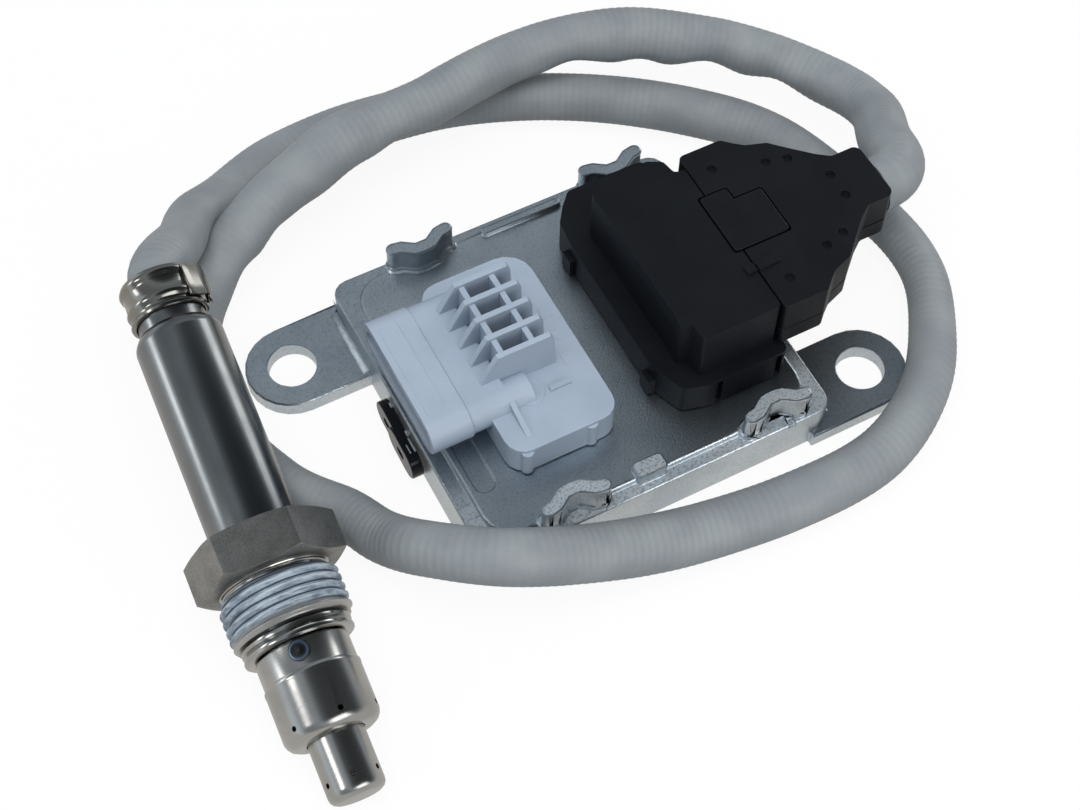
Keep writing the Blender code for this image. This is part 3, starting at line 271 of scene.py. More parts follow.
def slab(name, low, high, edge):  # a bevelled block between two corners, in millimetres
    middle = [(a + b) / 2 * mm for a, b in zip(low, high)]
    size = [(b - a) * mm for a, b in zip(low, high)]
    bpy.ops.mesh.primitive_cube_add(size=1.0, location=middle, scale=size)
    piece = bpy.context.object
    piece.name = name
    bpy.ops.object.transform_apply(location=True, scale=True)
    bevel(piece, edge * mm)
    return settle(piece)


def refined(node, name, width, held=True):  # a copy of a CAD node with rounded edges
    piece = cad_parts[node].copy()
    piece.data = piece.data.copy()
    piece.name = name
    piece.parent = None
    bpy.context.scene.collection.objects.link(piece)
    closeSeams(piece)
    bpy.ops.object.mode_set(mode="EDIT")
    bpy.ops.mesh.select_all(action="SELECT")
    bpy.ops.mesh.dissolve_limited(angle_limit=math.radians(1.0))
    bpy.ops.object.mode_set(mode="OBJECT")
    bevel(piece, width, held=held)
    settle(piece)
    flat = piece.modifiers.new("flatFaces", "WEIGHTED_NORMAL")
    flat.keep_sharp = True
    flat.weight = 60
    applyModifiers(piece)
    return piece


def dressed(piece, node, finish, body="unit"):  # gives a finish, and stands for the CAD node
    piece.data.materials.clear()
    piece.data.materials.append(finish.material)
    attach(piece, body)
    if node:
        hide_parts(node)


# Camera, lamps, floor and background

def makeCamera():
    turn, lift, roll = (math.radians(camera[k]) for k in ("azimuth", "elevation", "roll"))
    flat = math.cos(lift)
    back = Vector((math.sin(turn) * flat, -math.cos(turn) * flat, math.sin(lift)))
    level = Vector((math.cos(turn), math.sin(turn), 0.0))
    over = back.cross(level)
    right = level * math.cos(roll) + over * math.sin(roll)
    eye = bpy.data.objects.new("studioCamera", bpy.data.cameras.new("studioCamera"))
    eye.matrix_world = Matrix.Translation(camera["place"]) @ Matrix(
        (right, back.cross(right), back)).transposed().to_4x4()
    eye.data.lens = camera["lens"]
    eye.data.sensor_width = camera["sensor"]
    eye.data.clip_start = camera["nearest"]
    eye.data.clip_end = camera["furthest"]
    bpy.context.scene.collection.objects.link(eye)
    bpy.context.scene.camera = eye


def makeStudio():
    scene = bpy.context.scene
    scene.view_settings.view_transform = "Standard"
    for name, place, target, width, height, watts, shiny in studio["lamps"]:
        lamp = bpy.data.objects.new(name, bpy.data.lights.new(name, "AREA"))
        lamp.data.shape = "RECTANGLE"
        lamp.data.size = width
        lamp.data.size_y = height
        lamp.data.energy = watts
        aim = (Vector(target) - Vector(place)).to_track_quat("-Z", "Y")
        lamp.matrix_world = Matrix.Translation(place) @ aim.to_matrix().to_4x4()
        lamp.visible_glossy = shiny
        scene.collection.objects.link(lamp)
    makeSky(scene)
    makeFloor()
    print("studio made")


def makeSky(scene):  # white to the camera, and darker over the object's right half in reflections
    world = bpy.data.worlds.new("studioWorld")
    scene.world = world
    world.use_nodes = True
    sky = Nodes(world.node_tree)
    spot = sky.node("ShaderNodeTexCoord", output="Generated")
    towards = sky.node("ShaderNodeVectorMath", {"operation": "DOT_PRODUCT"},
                       {0: spot, 1: studio["darkSide"]}, output="Value")
    stops = [(place, [level * tint for tint in studio["skyTint"]])
             for place, level in studio["sky"]]
    shade = sky.node("ShaderNodeValToRGB", {"stops": stops}, {"Fac": towards + 0.5})
    seen = sky.node("ShaderNodeLightPath", output="Is Camera Ray")
    sky.plug(sky.tree.nodes["Background"].inputs["Color"], sky.mix(seen, shade, (1.0, 1.0, 1.0)))


def makeFloor():
    level = studio["floorLevel"]
    bpy.ops.mesh.primitive_plane_add(size=studio["floorSize"], location=(0, 0, level))
    floor = bpy.context.object
    floor.name = "studioFloor"
    paper = Finish("studioPaper", (studio["floorTone"],) * 3, 0.9)
    paper.set("Specular IOR Level", 0.0)
    seen = paper.node("ShaderNodeLightPath", output="Is Camera Ray")
    shine = paper.node("ShaderNodeLightPath", output="Is Glossy Ray")
    strength = studio["floorGlow"] - shine * (studio["floorGlow"] - studio["floorShine"])
    tint = paper.mix(shine, (1.0, 1.0, 1.0), studio["shineTint"])
    glow = paper.node("ShaderNodeEmission", {}, {"Strength": strength, "Color": tint})
    share = (seen + shine).maths("MINIMUM", 1.0) * studio["floorShare"]
    plain = Wire(paper, paper.shader.outputs[0])
    paper.plug(paper.tree.nodes["Material Output"].inputs["Surface"],
               paper.node("ShaderNodeMixShader", {}, {0: share, 1: plain, 2: glow}))
    floor.data.materials.append(paper.material)


# Where the probe lies: its own Z axis runs through it towards the tip

probe = {
    "point": (-64.3 * mm, -14.4 * mm, 13.1 * mm),
    "heading": 3.9, "tilt": 11.0, "roll": 6.3,  # degrees
    "clampStart": 43.2, "clampWidth": 7.4,  # millimetres, back from the point
}


def probePlace():
    turn, dip, roll = (math.radians(probe[k]) for k in ("heading", "tilt", "roll"))
    ahead = Vector((-math.sin(turn), -math.cos(turn), 0.0))
    up = Vector((0, 0, 1))
    along = ahead * math.cos(dip) - up * math.sin(dip)
    over = ahead * math.sin(dip) + up * math.cos(dip)
    place = Matrix((over.cross(along), over, along)).transposed().to_4x4()
    place.translation = probe["point"]
    return place @ Matrix.Rotation(roll, 4, "Z")


probeFrame = probePlace()


# The sleeved cable

sleeve = {
    "diameter": 9.8 * mm, "plugBack": 55.8 * mm, "plugAxis": -2.45 * mm, "height": 22.7 * mm,
    "approach": 2.5 * mm,  # straight stretch before the plug
    "intoClamp": 1.2 * mm, "outOfClamp": 2.0 * mm,  # straight stretch in the clamp
    "offFloor": 0.1 * mm, "pressedTo": 0.02 * mm,  # least gap of the route, and of any fold
    "rings": 1.35 * mm, "ringDepth": 0.035 * mm,
    "ringPatch": (20.0 * mm, 150.0),  # reach along of a patch of weaker rings, and change across
    "ringShare": (0.6, 0.8),  # mean share of their depth, and how much it changes by patch
    "sides": 32, "rows": 2300, "steps": 24, "pathRows": 8,
    "evenEnds": (6.0 * mm, 560.0 * mm),  # no creases outside these
    "creases": [(17.0 * mm, 0.9, 0.6, 0.16 * mm),  # soft: reach along, changes round, depth
                (4.0 * mm, 1.6, 1.0, 0.05 * mm)],  # fine
    "slackFrom": 390.0 * mm, "tautShare": 0.4,  # before this, fine creases show this much
    # the groove grey is painted shade, for the sleeve's ring grooves
    "greys": ((0.505, 0.525, 0.54), (0.55, 0.57, 0.58)), "grooveShadeGrey": (0.38, 0.40, 0.42),
    "ways": {"low": (0.08, -0.42, -0.90), "up": (0.12, 0.85, 0.51), "near": (-0.25, -0.46, 0.85),
             "right": (1, 0, 0.2)},
    "folds": [  # how far along, which way it shows, how far it reaches and how high, in millimetres
        (478, "low", 4.0, -1.0), (488, "low", 4.5, 1.0), (499, "low", 4.2, 1.3),
        (506.5, "low", 2.6, -1.0), (514, "low", 3.6, 1.0), (521, "low", 2.6, -0.9),
        (529, "low", 4.0, 0.6), (503, "near", 2.6, -0.7), (509, "near", 2.8, 0.6),
        (513, "near", 2.2, -0.5), (517.5, "near", 2.6, 0.6),
        (524, "near", 2.8, -0.7), (531, "near", 3.4, 0.4), (470, "near", 4.5, -0.35),
        (460, "near", 4.0, 0.3), (540, "right", 3.0, -0.4), (394, "low", 4.0, 0.4),
        (401, "low", 2.8, -0.8), (405.5, "low", 2.6, 0.5), (411, "low", 2.8, -0.8),
        (423, "low", 4.5, 0.6), (431, "low", 3.0, -0.4),
        (440, "low", 3.5, -0.7), (449, "low", 4.0, 0.4), (430, "up", 6.0, 0.8),
        (447, "up", 6.0, -0.5),
        (398, "near", 3.0, -0.4), (416, "near", 3.5, 0.4), (428, "near", 3.0, -0.3),
    ],
    "leans": [  # how far along, how far it lies off its route there, and over what reach
        (13, (0.6, -1.0, 0), 6), (22, (2.1, -3.7, -1.5), 8), (34, (0.5, -0.8, -0.4), 9),
        (57, (-0.1, 0.6, 0.4), 15), (152, (0.5, 1.0, 0.6), 14), (206, (-1.0, 0.9, 0.1), 17),
        (300, (0.2, 0.4, 0.25), 19), (342, (-0.5, -0.5, 0), 10), (392, (-0.5, 0.6, 0.3), 12),
        (450, (0.0, -0.9, -0.5), 14), (480, (0.0, -0.3, -0.2), 10), (509, (0.2, 0.3, 0.2), 10),
        (551, (-3.7, 1.9, 0), 10),
    ],
    "slims": [  # how far along, over what reach, and how much less its radius is there
        (26, 12, -0.55), (105, 40, -0.4), (190, 42, -0.95), (325, 24, -0.5), (345, 10, -0.5),
        (400, 14, -0.35), (470, 40, -0.25), (522, 24, -0.7),
    ],
    "route": [  # middle of the sleeve, in millimetres, as it lies in its loop
        (-56, 48.5, 19.5), (-50, 54, 13), (-41.5, 57.5, 8), (-29, 61.5, 6.5), (-12, 63.5, 5.5),
        (7, 61, 5), (26.5, 52.5, 5), (43, 40.5, 5), (55, 25, 5), (61.5, 9.5, 5), (64.5, -7, 5),
        (61.5, -20, 5.5), (51.5, -33, 6.5), (36.5, -40.5, 5), (18, -41.5, 5), (0, -39.5, 5.5),
        (-17, -37, 9.5), (-31, -33.5, 14), (-40.5, -25.5, 12), (-45, -17.5, 7), (-48.5, -8.5, 5),
        (-55.5, 1, 5), (-60, 12, 5), (-60.5, 25, 5), (-55, 37, 5.5), (-45.5, 44.5, 10),
        (-33, 50.5, 13.5), (-15, 55, 15),
        (3, 57.5, 15.5), (21, 58, 15.5), (37, 55.5, 15), (51, 47.5, 13.5), (63.5, 36, 12.5),
        (71, 22.5, 12.5), (71.5, 10, 16.5), (66, 1, 21),
    ],
}


def smoothRoute(points, count, arrival):  # evenly spaced points on a smooth curve through the route
    last = points[-2] - points[-1]
    route = [2 * points[0] - points[1], *points, points[-2] - 2 * last.dot(arrival) * arrival]
    fine = []
    for a, b, c, d in zip(route, route[1:], route[2:], route[3:]):
        for k in range(sleeve["steps"]):
            t = k / sleeve["steps"]
            fine.append(0.5 * (2 * b + (c - a) * t + (2 * a - 5 * b + 4 * c - d) * t * t
                               + (3 * b - a - 3 * c + d) * t * t * t))
    fine.append(route[-2])
    lengths = [0.0]
    for a, b in zip(fine, fine[1:]):
        lengths.append(lengths[-1] + (b - a).length)
    even, at = [], 0
    for k in range(count):
        goal = lengths[-1] * k / (count - 1)
        while at < len(lengths) - 2 and lengths[at + 1] < goal:
            at += 1
        share = (goal - lengths[at]) / (lengths[at + 1] - lengths[at])
        even.append(fine[at].lerp(fine[at + 1], share))
    return even, lengths[-1]


def near(along, place, reach):  # 1 at the place, falling to 0 away from it
    away = (along / mm - place) / reach
    return math.exp(-away * away) if abs(away) < 3.0 else 0.0


def leaning(along):  # how far the slack sleeve lies off its route
    moves = (Vector(way) * mm * near(along, place, reach) for place, way, reach in sleeve["leans"])
    return sum(moves, Vector())


def slimmed(along):  # how much less its radius is, where it is stretched
    return sum(change * mm * near(along, place, reach) for place, reach, change in sleeve["slims"])


def creases(along, out):  # soft unevenness all along
    first, last = sleeve["evenEnds"]
    if along < first or along > last:
        return 0.0
    soft, fine = (
        depth * noise.noise(Vector((along / reach, out.x * across, out.z * across + out.y * over)))
        for reach, across, over, depth in sleeve["creases"])
    return soft + fine * (1.0 if along > sleeve["slackFrom"] else sleeve["tautShare"])


def foldPlaces(path, length):  # each fold's place along the sleeve and the way out of it
    places = []
    for along, way, reach, height in sleeve["folds"]:
        row = round(len(path) * along * mm / length)
        run = (path[row + 3] - path[row - 3]).normalized()
        shows = Vector(sleeve["ways"][way])
        out = shows - run * shows.dot(run)
        places.append((along * mm, out.normalized(), reach * mm, height * mm))
    return places


def folded(out, along, folds):  # bulges and dents where the slack sleeve turns back
    swell = 0.0
    for place, way, reach, height in folds:
        away = abs(along - place) / reach
        if away < 2.5:
            turn = out.angle(way) * sleeve["diameter"] / 2 / (reach * 1.3)
            swell += height * math.exp(-away * away - turn * turn)
    return swell


def sleevePath():  # the middle of each ring of the sleeve, and the length of its smooth route
    front = -probe["clampStart"] * mm
    start = probeFrame @ Vector((0, 0, front - sleeve["intoClamp"]))
    leaves = probeFrame @ Vector((0, 0, front - probe["clampWidth"] * mm - sleeve["outOfClamp"]))
    end = Vector((sleeve["plugBack"] + clearance, sleeve["plugAxis"], sleeve["height"]))
    approach = end + Vector((sleeve["approach"], 0, 0))
    points = [start, leaves, *[Vector(p) * mm for p in sleeve["route"]], approach]
    lowest = sleeve["diameter"] / 2 + sleeve["offFloor"]
    points = [Vector((p.x, p.y, max(p.z, lowest))) for p in points]
    path, length = smoothRoute(points, sleeve["rows"], Vector((-1, 0, 0)))
    path = [spot + leaning(length * row / len(path)) for row, spot in enumerate(path)]
    path.append(end)
    return path, length + sleeve["approach"]


def sleeveTube(path):  # a round tube along the path
    curve = bpy.data.curves.new("sleeve", "CURVE")
    curve.dimensions = "3D"
    curve.twist_mode = "MINIMUM"
    curve.bevel_depth = sleeve["diameter"] / 2
    curve.bevel_resolution = sleeve["sides"] // 2 - 2
    curve.use_fill_caps = True
    spline = curve.splines.new("POLY")
    spline.points.add(len(path) - 1)
    for point, place in zip(spline.points, path):
        point.co = (*place, 1.0)
    piece = bpy.data.objects.new("sleevedCable", curve)
    bpy.context.scene.collection.objects.link(piece)
    select(piece)
    bpy.ops.object.convert(target="MESH")
    return bpy.context.object


def makeSleeve():
    path, length = sleevePath()
    piece = sleeveTube(path)
    mesh = piece.data
    sides = round(len(mesh.vertices) / len(path))
    alongs = []
    folds = foldPlaces(path, length)
    (reach, across), (mean, change) = sleeve["ringPatch"], sleeve["ringShare"]
    for vertex in mesh.vertices:
        row = min(vertex.index // sides, len(path) - 1)
        along = length * row / len(path)
        alongs.append(along)
        out = vertex.co - path[row]
        if out.length > 0.8 * sleeve["diameter"] / 2:
            swell = sleeve["ringDepth"] * math.sin(2 * math.pi * along / sleeve["rings"])
            swell *= mean + change * noise.noise(
                Vector((along / reach, out.x * across, out.y * across)))
            swell += creases(along, out.normalized()) + folded(out.normalized(), along, folds)
            swell += slimmed(along)
            vertex.co += out.normalized() * swell
            vertex.co.z = max(vertex.co.z, sleeve["pressedTo"])
    attribute = mesh.attributes.new("alongSleeve", "FLOAT", "POINT")
    attribute.data.foreach_set("value", alongs)
    closeSeams(piece, 0.0005 * mm)
    settle(piece, smooth=60.0)
    dressed(piece, "sleeve", sleeveFinish())
    length = sum((b - a).length for a, b in zip(path, path[1:]))
    path[::sleeve["pathRows"]] + [path[-1]]
    print("sleeve made", round(length / mm, 1), "mm", sides, "sides")


def sleeveFinish():
    pale, paler = (screenColour(grey) for grey in sleeve["greys"])
    cloth = Finish("sleeveGrey", pale, 0.5)
    along = cloth.attribute("alongSleeve")
    ring = (along * (2 * math.pi / sleeve["rings"])).maths("SINE") * 0.5 + 0.5
    spots = cloth.grain(9.0 * mm, detail=3.0)
    weave = cloth.grain(0.35 * mm, detail=2.0)
    mottled = cloth.grain(14.0 * mm, detail=2.0).between(0.35, 0.65)
    # the rings are darkened to the groove grey in patches: painted shade in the ring grooves; the
    # weave adds fine grain
    ringShadeAndWeave = (ring * mottled * 0.14) + (weave.between(0.3, 0.75) * 0.06)
    cloth.set("Base Color", cloth.mix(ringShadeAndWeave, cloth.mix(spots.between(0.35, 0.7), pale, paler),
                                      screenColour(sleeve["grooveShadeGrey"])))
    cloth.set("Roughness", 0.44 + spots * 0.14)
    cloth.bump(weave, 0.02 * mm)
    return cloth


# The probe: outlines are radius and level along it, in millimetres

steels = {  # colour, roughness, fine rings round it or else lines along it, how strongly they show
    "turnedSteel": ((0.72, 0.715, 0.70), 0.16, True, 0.25),
    "drawnTube": ((0.54, 0.55, 0.55), 0.24, False, 0.25),
    "shieldSteel": ((0.74, 0.735, 0.72), 0.24, True, 0.35),
    "clampSteel": ((0.60, 0.59, 0.565), 0.17, True, 0.2),
}
tube = {
    "outline": [(6.5, -3.75), (7.42, -3.75), (7.42, -38.9), (7.3, -39.5), (7.0, -40.1),
                (6.6, -40.7), (6.2, -41.1), (5.85, -41.3), (5.75, -42.6), (5.8, -43.0),
                (5.8, -45.9), (5.3, -45.9), (5.3, -40.3), (6.5, -38.8), (6.5, -3.75)],
}
collar = {
    "outline": [(4.0, 20.3), (6.6, 20.3), (6.6, 16.5), (8.75, 16.5), (9.0, 16.35), (9.1, 16.05),
                (9.0, 15.7), (8.7, 15.5), (8.55, 15.3), (8.7, 15.15), (9.0, 15.0), (9.05, 14.7),
                (9.0, 14.4), (8.6, 14.2), (7.3, 14.2), (7.3, -3.45), (6.2, -3.45), (6.2, -9.0),
                (4.0, -9.0), (4.0, 20.3)],
}
nut = {
    "acrossFlats": 22.0, "depth": 7.5, "middle": 0.9, "edge": 0.15,
    "chamfer": [(10.8, 4.66), (12.9, 3.75), (12.9, -2.35), (10.95, -2.86)],
    "neck": [(6.0, 2.0), (9.15, 2.0), (9.15, 4.9), (9.05, 5.05), (8.75, 5.15), (8.6, 5.35),
             (8.75, 5.5), (8.75, 5.75), (8.6, 5.9), (8.6, 7.4), (6.0, 7.4)],
    "bore": [(7.7, -6.0), (7.7, 12.0)],
    "brightFrom": 4.7, "brightWithin": 9.3,
}
thread = {
    "inner": 7.8, "crest": 10.0, "depth": 0.75, "pitch": 1.5,
    "start": (9.0, 6.0), "end": (9.4, 13.9),
    "firstRow": 6.1, "rowStep": 0.075, "rows": 104, "sides": 120,
    "valley": 0.12, "flank": 0.70,  # shares of the rise from groove to crest
    "runIn": (6.0, 0.9), "runOut": (14.0, 0.8),  # the crest grows from, or dies out to, this level
    "pasteFrom": (5.7, 6.2), "pasteTo": (12.0, 12.8),  # levels over which the paste starts and ends
    # the groove grey is painted shade, darker in the thread's roots
    "pasteGreys": ((0.40, 0.45, 0.50), (0.69, 0.74, 0.78)), "grooveShadeGrey": (0.20, 0.24, 0.29),
    "steel": (0.72, 0.72, 0.71),
}
shields = {
    "outer": [(4.8, 31.5), (5.5, 31.6), (6.4, 31.5), (7.15, 31.1), (7.6, 30.5), (7.85, 29.8),
              (7.85, 22.2), (7.9, 22.05), (7.92, 21.8), (7.88, 21.5), (7.7, 21.25), (7.65, 21.1),
              (7.65, 16.95), (7.5, 16.8), (6.9, 16.8), (6.9, 29.8), (4.8, 30.7), (4.8, 31.5)],
    "tip": [(3.0, 41.5), (3.6, 41.42), (4.2, 41.1), (4.55, 40.6), (4.65, 40.0), (4.65, 21.4),
            (6.6, 21.4), (6.6, 20.6), (4.0, 20.6), (4.0, 40.9)],
    "outerHoles": (7.85, 29.1, 11.0), "tipHoles": (4.65, 38.5, 24.0),  # radius, level, turned by
    "holes": 6, "holeRadius": 0.45, "drillDepth": 3.0,
}
weld = {  # a round spot weld: a low ring round a small hollow, wrapped on the shield
    "radius": 7.65 * mm, "angle": 90.5, "level": 18.55 * mm, "spot": 1.75,
    "outline": [(1.75, -0.12), (1.75, 0.0), (1.7, 0.05), (1.56, 0.10), (1.37, 0.10), (1.2, 0.05),
                (1.05, 0.01), (0.7, 0.01), (0.36, 0.015), (0.2, 0.05), (0.06, 0.06)],
    "tints": [(0.0, (0.42, 0.38, 0.34)), (0.2, (0.30, 0.30, 0.29)), (0.55, (0.33, 0.34, 0.35)),
              (0.68, (0.42, 0.48, 0.56)), (0.86, (0.60, 0.66, 0.74)), (0.93, (0.28, 0.30, 0.33)),
              (1.0, (0.14, 0.14, 0.14))],  # from its middle outwards
}
clamp = {
    "rim": [(6.0, 0), (6.35, 0), (6.6, 0.12), (6.7, 0.45), (6.55, 0.8), (6.15, 1.05), (6.1, 1.4),
            (6.25, 1.7), (6.55, 2.0), (6.7, 2.5), (6.55, 3.0), (6.35, 3.35)],  # back from its front
    "tail": [(6.32, 2.2), (6.38, 1.8), (6.65, 1.45), (6.75, 1.0), (6.65, 0.6), (6.4, 0.3),
             (6.35, 0.1), (6.1, 0), (5.3, 0), (5.3, 4.3), (6.0, 4.3)],  # ahead of its back
    "earRadius": 6.7, "earBack": 0.2, "ear": (0.7, 1.4, 5.8), "earAngle": 40.0, "earEdge": 0.14,
    "earFolds": [(0.10, -1.5, 0.97), (0.05, -1.3, 0.92), (-0.55, -0.9, 0.85), (-0.9, -0.2, 0.95)],
    "pin": (7.1, 0.9, 0.9), "pinRadius": 0.5, "pinLength": 1.6, "pinEdge": 0.12,
}


def steelFinish(name):
    colour, roughness, around, brush = steels[name]
    steel = Finish(name, screenColour(colour), roughness, 1.0)
    size, stretch = (0.25 * mm, (0.0, 0.0, 1.0)) if around else (0.35 * mm, (1.0, 1.0, 0.02))
    lines = steel.grain(size, steel.place(probeFrame, stretch), detail=4.0)
    cloud = steel.grain(6.0 * mm, detail=3.0)
    deep = screenColour([c * 0.82 for c in colour])
    steel.set("Base Color", steel.mix((lines * brush) + cloud.between(0.35, 0.75) * 0.35,
                                      screenColour(colour), deep))
    steel.set("Roughness", (lines - 0.5) * brush * 0.5 + roughness + (cloud - 0.5) * 0.12)
    steel.bump(lines, 0.006 * mm)
    return steel


def threadFinish():  # steel crests that show through the paste
    paste = Finish("threadWithPaste", screenColour((0.64, 0.70, 0.75)), 0.55)
    level = paste.node("ShaderNodeSeparateXYZ", {}, {0: paste.place(probeFrame)}, output="Z")
    around = paste.place(probeFrame, (0.35, 0.35, 3.0))
    lump = paste.grain(1.5 * mm, around, detail=5.0, roughness=0.7)
    started = level.between(*(value * mm for value in thread["pasteFrom"]))
    ended = level.between(*(value * mm for value in thread["pasteTo"]))
    height = paste.attribute("crest")
    rubbed = (height + lump * 0.5).between(1.24, 1.44)
    bare = (1.0 - (1.0 - ended) * started).maths("MAXIMUM", rubbed)
    thin, thick = (screenColour(grey) for grey in thread["pasteGreys"])
    smeared = paste.mix(lump.between(0.35, 0.62), thin, thick)
    # the roots are darkened to the groove grey: painted shade in the thread's grooves
    pasteWithGrooveShade = paste.mix((1.0 - height).between(0.78, 1.0), smeared,
                       screenColour(thread["grooveShadeGrey"]))
    paste.set("Base Color", paste.mix(bare, pasteWithGrooveShade, screenColour(thread["steel"])))
    paste.set("Metallic", bare * 0.95)
    paste.set("Roughness", 0.6 - bare * 0.3)
    paste.bump(lump, 0.12 * mm)
    return paste


def forgedFinish():
    forged = Finish("forgedNut", screenColour((0.60, 0.59, 0.56)), 0.42, 1.0)
    fine = forged.grain(0.28 * mm, detail=3.0)
    broad = forged.grain(3.5 * mm, detail=3.0)
    dark = fine.between(0.35, 0.7) * 0.5 + broad.between(0.4, 0.7) * 0.4
    forged.set("Base Color", forged.mix(dark, screenColour((0.63, 0.625, 0.61)),
                                        screenColour((0.48, 0.475, 0.46))))
    forged.set("Roughness", 0.40 + fine * 0.20)
    forged.bump(fine, 0.03 * mm)
    return forged


def weldFinish():
    tint = Finish("weldTint", screenColour((0.4, 0.45, 0.5)), 0.32, 1.0)
    stops = [(place, screenColour(colour)) for place, colour in weld["tints"]]
    away = tint.attribute("fromMiddle") / weld["spot"]
    tint.set("Base Color", tint.node("ShaderNodeValToRGB", {"stops": stops}, {"Fac": away}))
    tint.bump(tint.grain(0.3 * mm), 0.01 * mm)
    return tint


def makeProbe():
    bright = steelFinish("turnedSteel")
    piece = turnPiece("rearTube", tube["outline"])
    dressed(settle(piece, probeFrame), "rear_tube", steelFinish("drawnTube"))
    makeNut(forgedFinish(), bright)
    makeThread()
    piece = turnPiece("metalShell", collar["outline"])
    dressed(settle(piece, probeFrame), "metal_shell", bright)
    makeShields()
    makeClamp()
    print("probe made")


def makeNut(forged, bright):  # the hexagon is matt, its turned neck is bright
    toCorner = nut["acrossFlats"] / 2 * mm / math.cos(math.pi / 6)
    bpy.ops.mesh.primitive_cylinder_add(vertices=6, radius=toCorner, depth=nut["depth"] * mm,
                                        location=(0, 0, nut["middle"] * mm),
                                        rotation=(0, 0, math.pi / 6))
    hexagon = bpy.context.object
    hexagon.name = "unionNut"
    bpy.ops.object.transform_apply(location=True, rotation=True)
    bevel(hexagon, nut["edge"] * mm, angle=25.0)
    boolean(hexagon, turnPiece("nutChamfer", nut["chamfer"], capped=True), "INTERSECT")
    boolean(hexagon, turnPiece("nutNeck", nut["neck"], capped=True), "UNION")
    boolean(hexagon, turnPiece("nutBore", nut["bore"], capped=True))
    dressed(settle(hexagon, probeFrame, 25.0), "union_nut", forged, "nut")
    hexagon.data.materials.append(bright.material)
    back = probeFrame.inverted()
    for face in hexagon.data.polygons:
        spot = back @ face.center
        within = Vector((spot.x, spot.y)).length < nut["brightWithin"] * mm
        if within and spot.z > nut["brightFrom"] * mm:
            face.material_index = 1


def makeThread():
    rows = [(thread["inner"], thread["start"][1]), thread["start"]]
    rows += [(thread["crest"], thread["firstRow"] + thread["rowStep"] * k)
             for k in range(thread["rows"])]
    rows += [thread["end"], (thread["inner"], thread["end"][1]), rows[0]]
    piece = turnPiece("nutThread", rows, thread["sides"])
    (low, rise), (high, fall) = thread["runIn"], thread["runOut"]
    crests = []
    for vertex in piece.data.vertices:
        level = vertex.co.z / mm
        flat = Vector((vertex.co.x, vertex.co.y))
        crest = 0.0
        if flat.length > (thread["crest"] - 0.1) * mm:  # only what stands out to the crest
            turn = math.atan2(flat.y, flat.x) / (2 * math.pi)
            wave = (level / thread["pitch"] - turn) % 1.0
            crest = 1.0 - abs(2.0 * wave - 1.0)
            crest = min(1.0, max(0.0, (crest - thread["valley"]) / thread["flank"]))
            fade = min(1.0, max(0.0, (level - low) / rise))
            fade *= min(1.0, max(0.0, (high - level) / fall))
            lost = thread["depth"] * (1.0 - crest)
            radius = thread["crest"] - lost - thread["depth"] * (1.0 - fade) * crest
            flat *= radius * mm / flat.length
            vertex.co.x, vertex.co.y = flat
            crest *= fade
        crests.append(crest)
    piece.data.attributes.new("crest", "FLOAT", "POINT").data.foreach_set("value", crests)
    dressed(settle(piece, probeFrame, 60.0), None, threadFinish(), "nut")


def makeShields():
    steel = steelFinish("shieldSteel")
    outer = turnPiece("outerShield", shields["outer"])
    drill(outer, *shields["outerHoles"])
    dressed(settle(outer, probeFrame), "outer_shield", steel)
    makeWeldMark()
    tip = turnPiece("tipShield", shields["tip"], capped=True)
    drill(tip, *shields["tipHoles"])
    dressed(settle(tip, probeFrame), "inner_shield", steel)


def drill(piece, radius, level, offset):  # small holes all round
    for k in range(shields["holes"]):
        angle = math.radians(offset) + 2 * math.pi * k / shields["holes"]
        bpy.ops.mesh.primitive_cylinder_add(
            vertices=24, radius=shields["holeRadius"] * mm, depth=shields["drillDepth"] * mm,
            rotation=(0, math.pi / 2, angle),
            location=(radius * mm * math.cos(angle), radius * mm * math.sin(angle), level * mm))
        boolean(piece, bpy.context.object)


def makeWeldMark():
    spot = turnPiece("weldMark", weld["outline"], 64, capped=True)
    turn = math.radians(weld["angle"])
    fromMiddle = []
    for vertex in spot.data.vertices:
        across, along, height = vertex.co
        fromMiddle.append(math.hypot(across, along) / mm)
        angle, radius = turn + across / weld["radius"], weld["radius"] + height
        vertex.co = (radius * math.cos(angle), radius * math.sin(angle), weld["level"] + along)
    spot.data.attributes.new("fromMiddle", "FLOAT", "POINT").data.foreach_set("value", fromMiddle)
    closeSeams(spot, 0.0005 * mm)
    dressed(settle(spot, probeFrame, 60.0), None, weldFinish())


def makeClamp():
    bronze = steelFinish("clampSteel")
    front, back = -probe["clampStart"], -probe["clampStart"] - probe["clampWidth"]
    outline = [(radius, front - step) for radius, step in clamp["rim"]]
    outline += [(radius, back + step) for radius, step in clamp["tail"]]
    ring = turnPiece("cableClamp", outline + outline[:1])
    dressed(settle(ring, probeFrame), "cable_clamp", bronze)
    level = (front + back) / 2 - clamp["earBack"]
    bpy.ops.mesh.primitive_cube_add(size=1.0, location=(clamp["earRadius"] * mm, 0, level * mm),
                                    scale=[side * mm for side in clamp["ear"]])
    strap = bpy.context.object
    strap.name = "clampEar"
    bpy.ops.object.transform_apply(location=True, scale=True)
    for out, along, narrower in clamp["earFolds"]:
        pushEnd(strap, (out * mm, along * mm, 0), narrower)
    bevel(strap, clamp["earEdge"] * mm)
    strap.data.transform(Matrix.Rotation(math.radians(clamp["earAngle"]), 4, "Z"))
    dressed(settle(strap, probeFrame), None, bronze)
    out, along, behind = clamp["pin"]
    bpy.ops.mesh.primitive_cylinder_add(
        vertices=20, radius=clamp["pinRadius"] * mm, depth=clamp["pinLength"] * mm,
        location=(out * mm, along * mm, (front - behind) * mm))
    pin = bpy.context.object
    pin.name = "clampPin"
    bevel(pin, clamp["pinEdge"] * mm)
    dressed(settle(pin, probeFrame), None, bronze)


